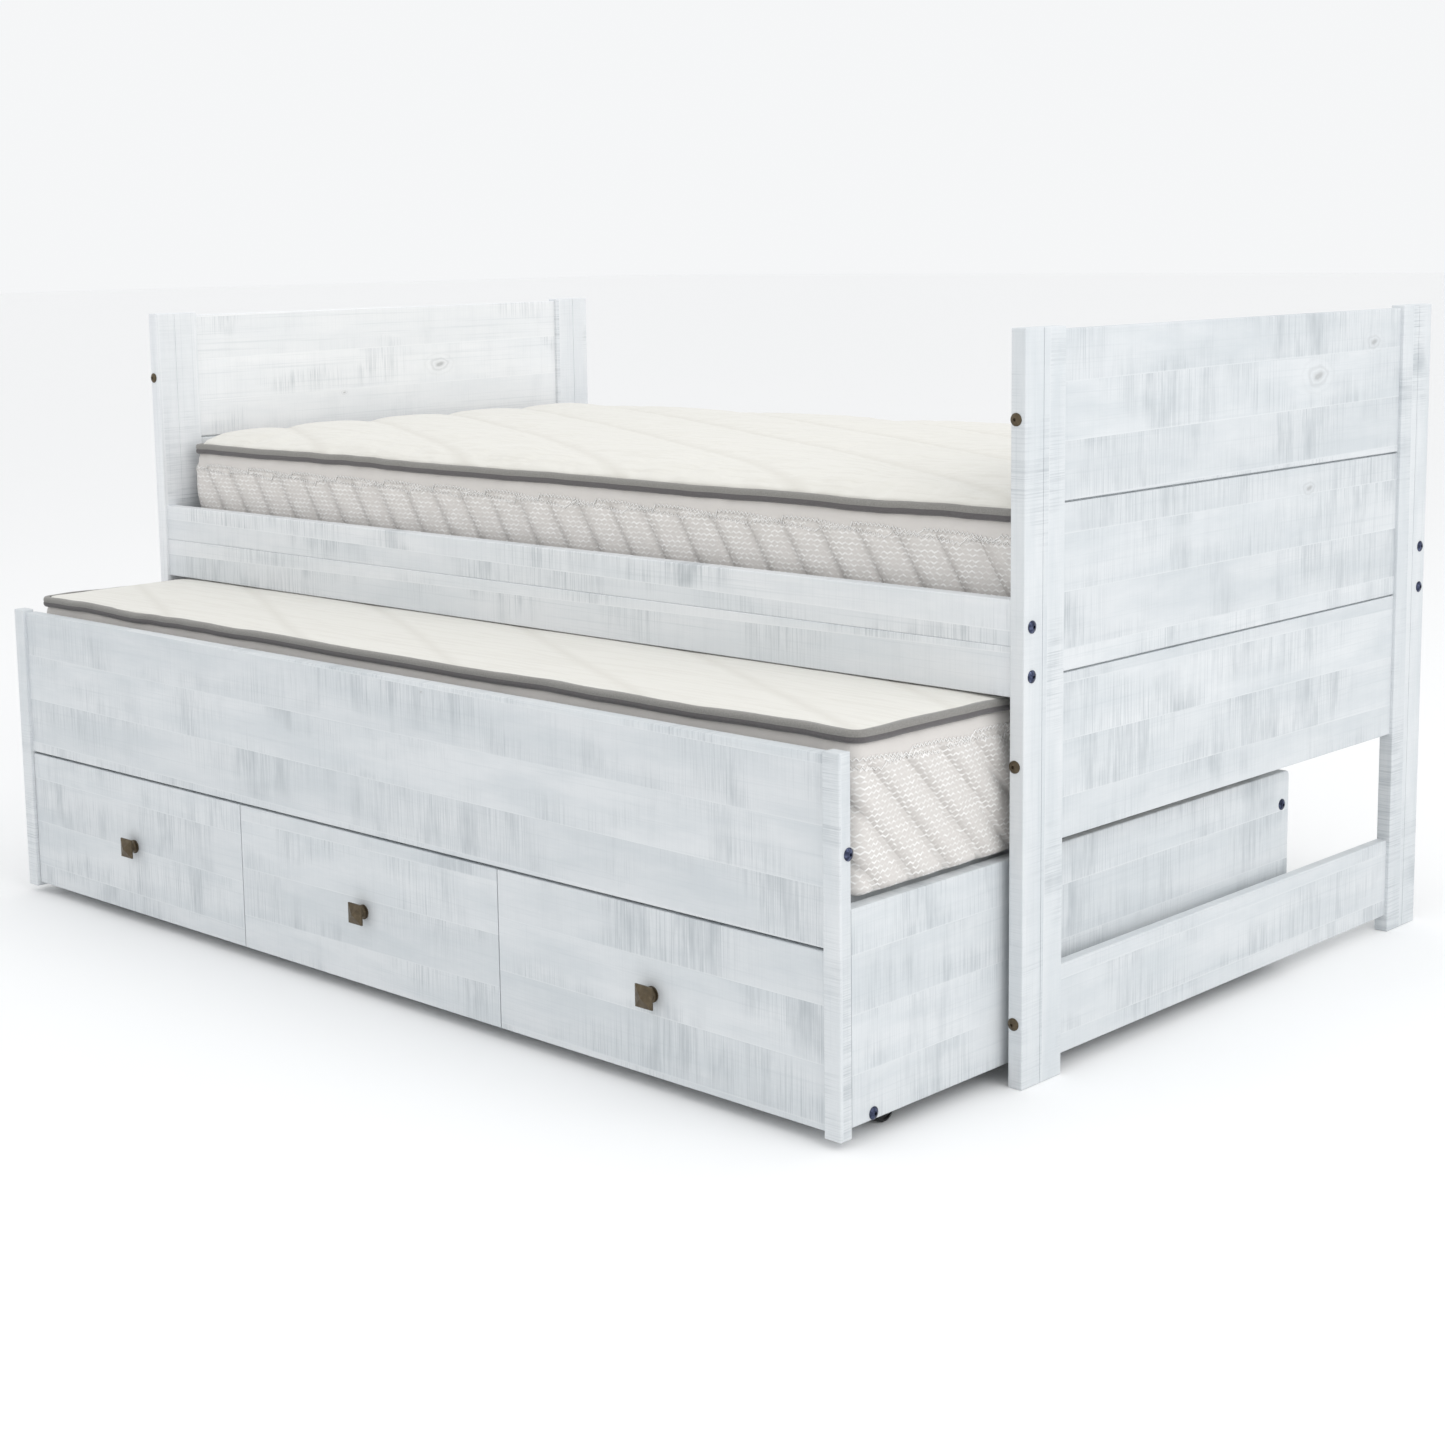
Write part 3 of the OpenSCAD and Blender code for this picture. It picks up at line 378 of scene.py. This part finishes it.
def crownKnit():
    material, tree = startMaterial("quiltedStretchKnit")
    place = addNode(tree, "ShaderNodeTexCoord")
    stretched = addNode(tree, "ShaderNodeMapping", {"Vector": place.outputs["Object"],
        "Scale": (1 / ticking["crinkleLength"], 1 / ticking["crinkleWidth"], 1 / ticking["crinkleWidth"])})
    crinkle = addNode(tree, "ShaderNodeTexNoise", {"Vector": stretched.outputs[0], "Scale": 1.0,
        "Detail": 3.0, "Roughness": 0.5, "Distortion": 0.5})
    weave = addNode(tree, "ShaderNodeTexNoise", {"Vector": place.outputs["Object"],
        "Scale": 1 / ticking["weave"], "Detail": 2.0})
    # painted shade: the knit goes darker where the crinkle noise is low, in the crinkles' hollows
    shade = addNode(tree, "ShaderNodeMapRange", {"Value": crinkle.outputs["Fac"], "From Min": 0.55,
        "From Max": 0.35, "To Max": 0.45})
    tint = addNode(tree, "ShaderNodeMix", {"Factor": shade.outputs[0], "A": hexToLinear(ticking["crown"]),
        "B": hexToLinear(ticking["crownShade"])}, data_type="RGBA")
    # painted shade along the crown's slanted seams
    seams = addNode(tree, "ShaderNodeUVMap", uv_map="crown")
    seamPlace = addNode(tree, "ShaderNodeSeparateXYZ", {0: seams.outputs[0]})
    inChannel = addNode(tree, "ShaderNodeMath", {0: seamPlace.outputs["X"], 1: 0.5}, operation="PINGPONG")
    paintedCrownSeamShade = addNode(tree, "ShaderNodeMapRange", {"Value": inChannel.outputs[0], "From Min": 0.09,
        "From Max": 0.0, "To Max": 0.75})
    crownSeamShadedTint = addNode(tree, "ShaderNodeMix", {"Factor": paintedCrownSeamShade.outputs[0], "A": tint.outputs["Result"],
        "B": hexToLinear(ticking["crownShade"])}, data_type="RGBA")
    folds = addNode(tree, "ShaderNodeBump", {"Height": crinkle.outputs["Fac"], "Strength": 0.5,
        "Distance": 1.6 * mm})
    loops = addNode(tree, "ShaderNodeBump", {"Height": weave.outputs["Fac"], "Strength": 0.25,
        "Distance": 0.4 * mm, "Normal": folds.outputs[0]})
    shader = addNode(tree, "ShaderNodeBsdfPrincipled", {"Base Color": crownSeamShadedTint.outputs["Result"],
        "Roughness": 0.9, "Normal": loops.outputs[0],
        "Sheen Weight": 0.25, "Sheen Roughness": 0.5, "Specular IOR Level": 0.2})
    finishMaterial(tree, shader)
    return material


# border knit: white loops in mirrored zig-zag rows, a wire-netting pattern on a grey
# ground; the top band is left plain, and each channel gets painted shade beside its seam
def borderKnit():
    material, tree = startMaterial("loopedBorderKnit")
    place = addNode(tree, "ShaderNodeUVMap", uv_map="wrap")
    split = addNode(tree, "ShaderNodeSeparateXYZ", {0: place.outputs[0]})
    row = addNode(tree, "ShaderNodeMath", {0: split.outputs["Y"], 1: ticking["loopRow"]},
        operation="DIVIDE")
    rowIndex = addNode(tree, "ShaderNodeMath", {0: row.outputs[0]}, operation="FLOOR")
    inRow = addNode(tree, "ShaderNodeMath", {0: row.outputs[0]}, operation="FRACT")
    odd = addNode(tree, "ShaderNodeMath", {0: rowIndex.outputs[0], 1: 2.0}, operation="FLOORED_MODULO")
    mirror = addNode(tree, "ShaderNodeMapRange", {"Value": odd.outputs[0], "To Min": -0.42, "To Max": 0.42})
    zigzag = addNode(tree, "ShaderNodeMath", {0: split.outputs["X"], 1: ticking["loopWidth"] / 2},
        operation="PINGPONG")
    centred = addNode(tree, "ShaderNodeMath", {0: zigzag.outputs[0], 1: 2 / ticking["loopWidth"], 2: -0.5},
        operation="MULTIPLY_ADD")
    swing = addNode(tree, "ShaderNodeMath", {0: centred.outputs[0], 1: mirror.outputs[0],
        2: inRow.outputs[0]}, operation="MULTIPLY_ADD")
    away = addNode(tree, "ShaderNodeMath", {0: swing.outputs[0], 1: 0.5}, operation="SUBTRACT")
    distance = addNode(tree, "ShaderNodeMath", {0: away.outputs[0]}, operation="ABSOLUTE")
    loops = addNode(tree, "ShaderNodeMapRange", {"Value": distance.outputs[0], "From Min": 0.24,
        "From Max": 0.08})
    patches = addNode(tree, "ShaderNodeTexNoise", {"Vector": place.outputs[0], "Scale": 30.0, "Detail": 4.0,
        "Roughness": 0.7})
    specks = addNode(tree, "ShaderNodeTexNoise", {"Vector": place.outputs[0], "Scale": 1 / ticking["speck"],
        "Detail": 1.0})
    scatter = addNode(tree, "ShaderNodeMath", {0: specks.outputs["Fac"], 1: 1.3, 2: patches.outputs["Fac"]},
        operation="MULTIPLY_ADD")
    patchMask = addNode(tree, "ShaderNodeMapRange", {"Value": scatter.outputs[0], "From Min": 0.98,
        "From Max": 1.32, "To Min": 0.12})
    below = addNode(tree, "ShaderNodeMapRange", {"Value": split.outputs["Y"], "From Min": -20 * mm,
        "From Max": -26 * mm})
    loopMask = addNode(tree, "ShaderNodeMath", {0: loops.outputs[0], 1: below.outputs[0]},
        operation="MULTIPLY")
    loopShare = addNode(tree, "ShaderNodeMath", {0: loopMask.outputs[0], 1: patchMask.outputs[0]},
        operation="MULTIPLY")
    seams = addNode(tree, "ShaderNodeUVMap", uv_map="channels")
    channel = addNode(tree, "ShaderNodeSeparateXYZ", {0: seams.outputs[0]})
    share = addNode(tree, "ShaderNodeMath", {0: channel.outputs["X"]}, operation="FRACT")
    # painted shade: the ground darkens towards each channel's seam
    paintedChannelShade = addNode(tree, "ShaderNodeMapRange", {"Value": share.outputs[0], "From Min": 0.38,
        "From Max": 0.0, "To Max": 0.6})
    paintedChannelShadeShare = addNode(tree, "ShaderNodeMath", {0: paintedChannelShade.outputs[0], 1: below.outputs[0]},
        operation="MULTIPLY")
    ground = addNode(tree, "ShaderNodeMix", {"Factor": paintedChannelShadeShare.outputs[0],
        "A": hexToLinear(ticking["band"]), "B": hexToLinear(ticking["paintedChannelShade"])}, data_type="RGBA")
    tint = addNode(tree, "ShaderNodeMix", {"Factor": loopShare.outputs[0], "A": ground.outputs["Result"],
        "B": hexToLinear(ticking["stitch"])}, data_type="RGBA")
    height = addNode(tree, "ShaderNodeMath", {0: patches.outputs["Fac"], 1: 0.4, 2: loopShare.outputs[0]},
        operation="MULTIPLY_ADD")
    bump = addNode(tree, "ShaderNodeBump", {"Height": height.outputs[0], "Strength": 0.4,
        "Distance": 0.9 * mm})
    shader = addNode(tree, "ShaderNodeBsdfPrincipled", {"Base Color": tint.outputs["Result"],
        "Roughness": 0.88, "Normal": bump.outputs[0],
        "Sheen Weight": 0.2, "Sheen Roughness": 0.5, "Specular IOR Level": 0.2})
    finishMaterial(tree, shader)
    return material


def plainCloth(name, code, pitch, depth):
    material, tree = startMaterial(name)
    place = addNode(tree, "ShaderNodeTexCoord")
    weave = addNode(tree, "ShaderNodeTexNoise", {"Vector": place.outputs["Object"], "Scale": 1 / pitch,
        "Detail": 2.0})
    shade = addNode(tree, "ShaderNodeMapRange", {"Value": weave.outputs["Fac"], "From Min": 0.3,
        "From Max": 0.7, "To Min": 0.82, "To Max": 1.1})
    tint = addNode(tree, "ShaderNodeVectorMath", {0: hexToLinear(code)[:3], 1: shade.outputs[0]},
        operation="MULTIPLY")
    bump = addNode(tree, "ShaderNodeBump", {"Height": weave.outputs["Fac"], "Strength": 0.4,
        "Distance": depth})
    shader = addNode(tree, "ShaderNodeBsdfPrincipled", {"Base Color": tint.outputs[0],
        "Roughness": 0.85, "Normal": bump.outputs[0], "Sheen Weight": 0.3, "Specular IOR Level": 0.2})
    finishMaterial(tree, shader)
    return material


def meshObject(name, points, faces, materials, slots=None):
    mesh = bpy.data.meshes.new(name)
    mesh.from_pydata([tuple(p) for p in points], [], [tuple(int(i) for i in f) for f in faces])
    for material in materials:
        mesh.materials.append(material)
    mesh.polygons.foreach_set("use_smooth", [True] * len(mesh.polygons))
    if slots is not None:
        mesh.polygons.foreach_set("material_index", [int(s) for s in slots])
    mesh.update()
    obj = bpy.data.objects.new(name, mesh)
    bpy.context.scene.collection.objects.link(obj)
    return obj


# one row of quads between each two neighbouring rings of the same size
def ringFaces(rings, size, closed=False):
    faces = []
    for r in range(rings if closed else rings - 1):
        low, high = r * size, ((r + 1) % rings) * size
        faces += [(low + i, low + (i + 1) % size, high + (i + 1) % size, high + i) for i in range(size)]
    return faces


# the seams follow the outline, anticlockwise from above, from the middle of the back
mattress = {
    "cornerRadius": 17 * mm,
    "tapeProud": 5.5 * mm,
    "channel": 72 * mm,
    "plainBand": 20 * mm,
    "channelPuff": 7.5 * mm,
    "bandRow": 5 * mm,
    "crownSeam": 175 * mm,
    "crownLean": (0.464, 0.886),  # the way across the crown's slanted seams
    "clothCell": 12 * mm,
    "puff": 12 * mm,          # how far the filling may lift the cloth
    "scallop": 131 * mm,
    "seamHeld": 7 * mm,       # cloth this near a seam stays sewn down
    "sewnBelow": 18 * mm,
    "pressure": 4,
    "clothFrames": 20,
    "caseColumns": 240,
    "borderColumns": 12,      # in each channel
    "tapeColumns": 1100,
    "stitch": 8.2 * mm,
    "rowGap": 9 * mm,         # between the two rows of zig-zag
}
upperLow, upperHigh = boxOf("upper_mattress")
lowerLow, lowerHigh = boxOf("trundle_mattress")
halfLength = (upperHigh.x - upperLow.x) / 2
halfWidth = (upperHigh.y - upperLow.y) / 2
cornerRadius = mattress["cornerRadius"]
perimeter = 4 * (halfLength + halfWidth - 2 * cornerRadius) + 2 * math.pi * cornerRadius
channelCount = round(perimeter / mattress["channel"])
channelPitch = perimeter / channelCount


# a point that is s along the outline, and the way out of the mattress there
def outlinePoint(s):
    radius = cornerRadius
    straightX, straightY, bend = 2 * (halfLength - radius), 2 * (halfWidth - radius), radius * math.pi / 2
    s = s % (2 * (straightX + straightY) + 4 * bend)
    cornerX, cornerY = halfLength - radius, halfWidth - radius
    legs = [
        (straightX / 2, (0, cornerY), 180), (bend, (-cornerX, cornerY), 180),
        (straightY, (-cornerX, cornerY), 270), (bend, (-cornerX, -cornerY), 270),
        (straightX, (-cornerX, -cornerY), 0), (bend, (cornerX, -cornerY), 0),
        (straightY, (cornerX, -cornerY), 90), (bend, (cornerX, cornerY), 90),
        (straightX, (cornerX, cornerY), 180)]
    for index, (length, start, heading) in enumerate(legs):
        if s <= length or index == len(legs) - 1:
            turn = math.radians(heading)
            if index % 2:
                angle = turn + s / radius
                out = Vector((math.sin(angle), -math.cos(angle), 0))
                return Vector((*start, 0)) + out * radius, out
            out = Vector((math.sin(turn), -math.cos(turn), 0))
            ahead = Vector((math.cos(turn), math.sin(turn), 0))
            return Vector((*start, 0)) + ahead * s + out * radius, out
        s -= length


crownCloth = crownKnit()
borderCloth = borderKnit()
# woven binding tape, folded over the edge: one grey cloth in two copies, the upper half painted lighter as
# painted light, the lower half painted darker as painted shade
litTapeCopy = plainCloth("wovenTapePaintedLight", ticking["tapePaintedLight"], 1.6 * mm, 0.4 * mm)
shadedTapeCopy = plainCloth("wovenTapePaintedShade", ticking["tapePaintedShade"], 1.6 * mm, 0.4 * mm)
whiteThread = plainCloth("whiteThread", ticking["thread"], 2.0 * mm, 0.2 * mm)


def wave(s, length, seed):
    return noise.noise(Vector((s / length, seed * 7.3, 0.5)))


# heights are measured from the lower edge of the upper tape, so that both sizes share them
caseBottom = -195 * mm
# the crown's rise from its tape: distance in from the edge, and height, in metres
crownRise = [(0.0, 0.014), (0.008, 0.025), (0.024, 0.033), (0.055, 0.040),
             (0.110, 0.046), (0.200, 0.051), (0.330, 0.0525)]


# inner casing: its sides lie just under the border, and its top is the quilted crown
def casingShape():
    foot = [(0.30, caseBottom), (0.03, caseBottom),
            (0.010, caseBottom + 0.004), (0.007, caseBottom + 0.016)]
    wall = [(0.007, z * mm) for z in (-150, -110, -70, -35, -12)]
    profile = foot + wall + [(0.002, 0.004)] + crownRise
    count = mattress["caseColumns"]
    points, faces = [], ringFaces(len(profile), count)
    for inset, height in profile:
        for i in range(count):
            flat, _ = outlinePoint(i * perimeter / count)
            points.append((flat.x * (1 - inset / halfLength), flat.y * (1 - inset / halfWidth), height))
    faces.append(tuple(reversed(range(count))))
    faces.append(tuple(range((len(profile) - 1) * count, len(profile) * count)))
    return meshObject("mattressCasing", points, faces, [])


# how many channels across the crown a point is; the seams are at whole numbers
def crownChannel(x, y):
    leanX, leanY = mattress["crownLean"]
    return (x * leanX + y * leanY + 0.012 * wave(x, 0.3, 2)) / mattress["crownSeam"]


# filled with pressure between its seams, which are held where they are sewn
def puffedCasing():
    casing = casingShape()
    remesh = casing.modifiers.new("remesh", "REMESH")
    remesh.mode = "VOXEL"
    remesh.voxel_size = mattress["clothCell"]
    even = bpy.data.meshes.new_from_object(casing.evaluated_get(bpy.context.evaluated_depsgraph_get()))
    casing.modifiers.clear()
    casing.data = even
    rest = np.array([v.co for v in even.vertices])
    held = []
    for index, (x, y, z) in enumerate(rest):
        channel = crownChannel(x, y)
        fromSeam = abs(channel - round(channel)) * mattress["crownSeam"]
        if z < mattress["sewnBelow"] or fromSeam < mattress["seamHeld"]:
            held.append(index)
    pins = casing.vertex_groups.new(name="sewn")
    pins.add(held, 1.0, "REPLACE")
    cloth = casing.modifiers.new("cloth", "CLOTH")
    settings = cloth.settings
    settings.quality = 5
    settings.mass = 0.3
    settings.tension_stiffness = settings.compression_stiffness = 14
    settings.shear_stiffness = 5
    settings.bending_stiffness = 0.3
    settings.shrink_min = -0.035
    settings.use_pressure = True
    settings.uniform_pressure_force = mattress["pressure"]
    settings.vertex_group_mass = "sewn"
    settings.effector_weights.gravity = 0
    cloth.point_cache.frame_start, cloth.point_cache.frame_end = 1, mattress["clothFrames"]
    for step in range(1, mattress["clothFrames"] + 1):
        bpy.context.scene.frame_set(step)
    settled = casing.evaluated_get(bpy.context.evaluated_depsgraph_get())
    moved = np.array([v.co for v in settled.data.vertices]) - rest
    casing.modifiers.clear()
    reach = np.linalg.norm(moved, axis=1, keepdims=True) + 1e-9
    limit = mattress["puff"]
    rest = rest + moved / reach * limit * np.tanh(reach / limit)
    bpy.context.scene.frame_set(1)
    even.vertices.foreach_set("co", rest.ravel())
    even.update()
    divide = casing.modifiers.new("divide", "SUBSURF")
    divide.levels = divide.render_levels = 1
    final = bpy.data.meshes.new_from_object(casing.evaluated_get(bpy.context.evaluated_depsgraph_get()))
    bpy.data.objects.remove(casing)
    return final


# the quilted border: each channel puffs out from its slanted seam, and rucks under the tape
def borderPoint(s, z, slant, seed):
    lean = (s + z * slant) / channelPitch
    number = math.floor(lean)
    share = lean - number
    plump = 0.8 + 0.4 * abs(math.sin(number * 12.9898 + seed))
    start = mattress["plainBand"] + 5 * mm * math.sin(2 * math.pi * s / mattress["scallop"])
    fade = min(1.0, max(0.0, (-z - start) / (16 * mm)))
    rise = math.sin(math.pi * share ** 0.62) ** 0.55 if 0 < share < 1 else 0.0
    puff = mattress["channelPuff"] * plump * rise * fade * fade * (3 - 2 * fade)
    plain = 4 * mm * math.sin(math.pi * min(1.0, max(0.0, -z / (32 * mm))))
    rucks = (wave(s, 0.008, seed) * 1.1 + wave(s, 0.021, seed + 1) * 1.2) * mm * math.exp(z / (22 * mm))
    crumple = noise.noise(Vector((s / 0.019, z / 0.024, seed))) * 1.3 * mm * fade
    flat, out = outlinePoint(s)
    under = min(1.0, max(0.0, (caseBottom + 9 * mm - z) / (9 * mm)))
    reach = -2 * mm + (puff + plain + rucks + crumple) * (1 - under) - 11 * mm * under * under
    return flat + out * reach, out


print("mattress casing")
casingMesh = puffedCasing()
casingRest = np.array([v.co for v in casingMesh.vertices])
casingFaces = [tuple(p.vertices) for p in casingMesh.polygons]


# a thread that runs round in a closed loop
def tube(path, outs, radius, sides=5):
    points, count = [], len(path)
    for i, centre in enumerate(path):
        ahead = (path[(i + 1) % count] - path[i - 1]).normalized()
        side = ahead.cross(outs[i]).normalized()
        up = side.cross(ahead)
        points += [centre + (side * math.cos(a) + up * math.sin(a)) * radius
            for a in (2 * math.pi * k / sides for k in range(sides))]
    return points, ringFaces(count, sides, True)


# everything a mattress is sewn from: casing, border, binding tape and zig-zag thread
def makeMattress(name, body, low, high, heights, slant, turned, seed):
    bottomZ, tapeLow, tapeHigh, crownTop = (h * mm for h in heights)
    centre = (low + high) / 2
    flip = -1.0 if turned else 1.0
    peak = casingRest[:, 2].max()

    # the shared casing, stretched between this mattress's own heights
    def place(p):
        x, y, z = p
        if z <= 0:
            height = tapeLow + z * (tapeLow - bottomZ) / -caseBottom
        elif z <= 0.014:
            height = tapeLow + z / 0.014 * (tapeHigh - tapeLow)
        else:
            height = tapeHigh + (z - 0.014) * (crownTop - tapeHigh) / (peak - 0.014)
        return Vector((centre.x + flip * x, centre.y + flip * y, height))

    case = meshObject(name + "_casing", [place(p) for p in casingRest], casingFaces, [crownCloth])
    crossed = [crownChannel(p[0], p[1]) for p in casingRest]
    crownCoords = [c for f in casingFaces for v in f for c in (crossed[v], casingRest[v][0])]
    case.data.uv_layers.new(name="crown").data.foreach_set("uv", crownCoords)

    # border, in columns that follow the channel seams
    drop = tapeLow - bottomZ
    columns, rows = channelCount * mattress["borderColumns"], int(drop / mattress["bandRow"])
    levels = [6 * mm] + [-drop * k / rows for k in range(rows + 1)]
    borderPoints, coords = [], []
    for z in levels:
        for i in range(columns):
            s = i * perimeter / columns - z * slant
            spot, _ = borderPoint(s, z * -caseBottom / drop, slant, seed)
            borderPoints.append((centre.x + flip * spot.x, centre.y + flip * spot.y, tapeLow + z))
            coords.append((s, z))
    quads = [tuple(reversed(f)) for f in ringFaces(len(levels), columns)]
    border = meshObject(name + "_border", borderPoints, quads, [borderCloth])
    wrapCoords, channelCoords = [], []
    for polygon in border.data.polygons:
        first = coords[polygon.vertices[0]][0]
        for v in polygon.vertices:
            along, z = coords[v]
            along += perimeter * round((first - along) / perimeter)
            wrapCoords += [along, z]
            channelCoords += [(along + z * slant) / channelPitch, z]
    border.data.uv_layers.new(name="wrap").data.foreach_set("uv", wrapCoords)
    border.data.uv_layers.new(name="channels").data.foreach_set("uv", channelCoords)

    # binding tape, a little wavy, with a groove where it folds
    half = (tapeHigh - tapeLow) / 2
    section = [(-0.9, -0.9), (0.55, -1.06), (0.92, -0.72), (1.0, -0.3), (0.80, -0.04),
               (0.98, 0.3), (0.85, 0.8), (0.45, 1.08), (-0.9, 1.02)]
    tapePoints, count, sides = [], mattress["tapeColumns"], len(section)
    for i in range(count):
        s = i * perimeter / count
        flat, out = outlinePoint(s)
        sway = min(1.0, s / 0.4, (perimeter - s) / 0.4)
        lift = (wave(s, 0.17, seed) * 3.4 + wave(s, 0.05, seed + 1) * 1.1) * mm * sway
        bulge = mattress["tapeProud"] * (1 + 0.4 * wave(s, 0.06, seed + 2) * sway)
        for reach, rise in section:
            spot = flat + out * (reach * bulge)
            height = tapeLow + half + lift + rise * half
            tapePoints.append((centre.x + flip * spot.x, centre.y + flip * spot.y, height))
    tapeFaces = [tuple(reversed(f)) for f in ringFaces(count, sides, True)]
    # the upper half's faces take the painted-light copy, the rest take the painted-shade copy
    tapeSlots = [0 if 4 <= k % sides <= 7 else 1 for k in range(len(tapeFaces))]
    tape = meshObject(name + "_tape", tapePoints, tapeFaces, [litTapeCopy, shadedTapeCopy], tapeSlots)

    # zig-zag thread in shallow scallops under the plain band
    threadPoints, threadFaces = [], []
    for row, down in enumerate((mattress["plainBand"], mattress["plainBand"] + mattress["rowGap"])):
        path, outs, stitches = [], [], 2 * int(perimeter / mattress["stitch"])
        for i in range(stitches):
            s = i * perimeter / stitches
            along = s / mattress["scallop"] + row * 0.45
            share = along - math.floor(along)
            zigzag = 2.3 * mm if i % 2 else -2.3 * mm
            z = -down - 7 * mm * share + 3 * mm * math.sin(math.pi * share) + zigzag
            spot, out = borderPoint(s, z * -caseBottom / drop, slant, seed)
            onBorder = Vector((centre.x + flip * spot.x, centre.y + flip * spot.y, tapeLow + z))
            path.append(onBorder + flip * out * 0.6 * mm)
            outs.append(flip * out)
        ringPoints, ringQuads = tube(path, outs, (1.0 if row == 0 else 0.8) * mm)
        threadFaces += [tuple(len(threadPoints) + v for v in f) for f in ringQuads]
        threadPoints += ringPoints
    thread = meshObject(name + "_zigzag_thread", threadPoints, threadFaces, [whiteThread])
    made = [case, border, tape, thread]
    for piece in made:
        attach(piece, body)
    for piece in made[1:]:
        worldPlace = piece.matrix_world.copy()
        piece.parent = case
        piece.matrix_parent_inverse = case.matrix_world.inverted()
        piece.matrix_world = worldPlace
    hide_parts(name)
    return case


# heights in mm: underside, lower and upper edge of the tape, top of the crown
print("mattresses")
makeMattress("upper_mattress", "bed", upperLow, upperHigh, (575, 767, 784, 823), 0.66, False, 3)
makeMattress("trundle_mattress", "trundle", lowerLow, lowerHigh, (317, 518, 534, 538), 1.0, True, 11)

print("floor and light")
studio = {
    "floor": "fcfcfc",
    "world": "fbfcfd",
    "worldStrength": 0.95,
    "keyPower": 50.0,
    "fillPower": 6.0,
    "topPower": 20.0,
    "floorReach": 60,         # metres, so that its edge lies at the horizon
    "lens": 60.26,
    "shift": (0.0241, -0.0797),
    "cameraSpot": (2.8733, -2.9476, 1.1459),
    "cameraTurn": (44.081, 81.421, -0.883),  # degrees: round, up from straight down, roll
}
floorMaterial, floorTree = startMaterial("matPaintedFloor")
floorShader = addNode(floorTree, "ShaderNodeBsdfPrincipled",
    {"Base Color": hexToLinear(studio["floor"]), "Roughness": 0.8})
finishMaterial(floorTree, floorShader)
reach = studio["floorReach"]
floorCorners = [(-reach, -reach, 0), (reach, -reach, 0), (reach, reach, 0), (-reach, reach, 0)]
floor = meshObject("floor", floorCorners, [(0, 1, 2, 3)], [floorMaterial])

world = bpy.data.worlds.new("studio")
world.use_nodes = True
world.node_tree.nodes["Background"].inputs["Color"].default_value = hexToLinear(studio["world"])
world.node_tree.nodes["Background"].inputs["Strength"].default_value = studio["worldStrength"]
bpy.context.scene.world = world


def softBox(name, spot, target, size, power):
    light = bpy.data.lights.new(name, "AREA")
    light.shape = "RECTANGLE"
    light.size, light.size_y = size
    light.energy = power
    obj = bpy.data.objects.new(name, light)
    bpy.context.scene.collection.objects.link(obj)
    obj.location = spot
    obj.rotation_euler = (Vector(target) - Vector(spot)).to_track_quat("-Z", "Y").to_euler()
    return obj


softBox("keyLight", (4.2, -0.6, 3.4), (0, 0, 0.4), (3.0, 3.0), studio["keyPower"])
softBox("fillLight", (-1.8, -5.2, 2.8), (0, 0, 0.4), (4.0, 3.0), studio["fillPower"])
softBox("topLight", (0, 0.4, 4.6), (0, 0.2, 0), (4.5, 3.5), studio["topPower"])

cameraData = bpy.data.cameras.new("camera")
cameraData.sensor_width = 36.0
cameraData.lens = studio["lens"]
cameraData.shift_x, cameraData.shift_y = studio["shift"]
camera = bpy.data.objects.new("camera", cameraData)
bpy.context.scene.collection.objects.link(camera)
heading, tilt, roll = (math.radians(angle) for angle in studio["cameraTurn"])
turn = Matrix.Rotation(heading, 4, "Z") @ Matrix.Rotation(tilt, 4, "X") @ Matrix.Rotation(roll, 4, "Z")
camera.matrix_world = Matrix.Translation(studio["cameraSpot"]) @ turn
bpy.context.scene.camera = camera
bpy.context.scene.view_settings.view_transform = "Standard"
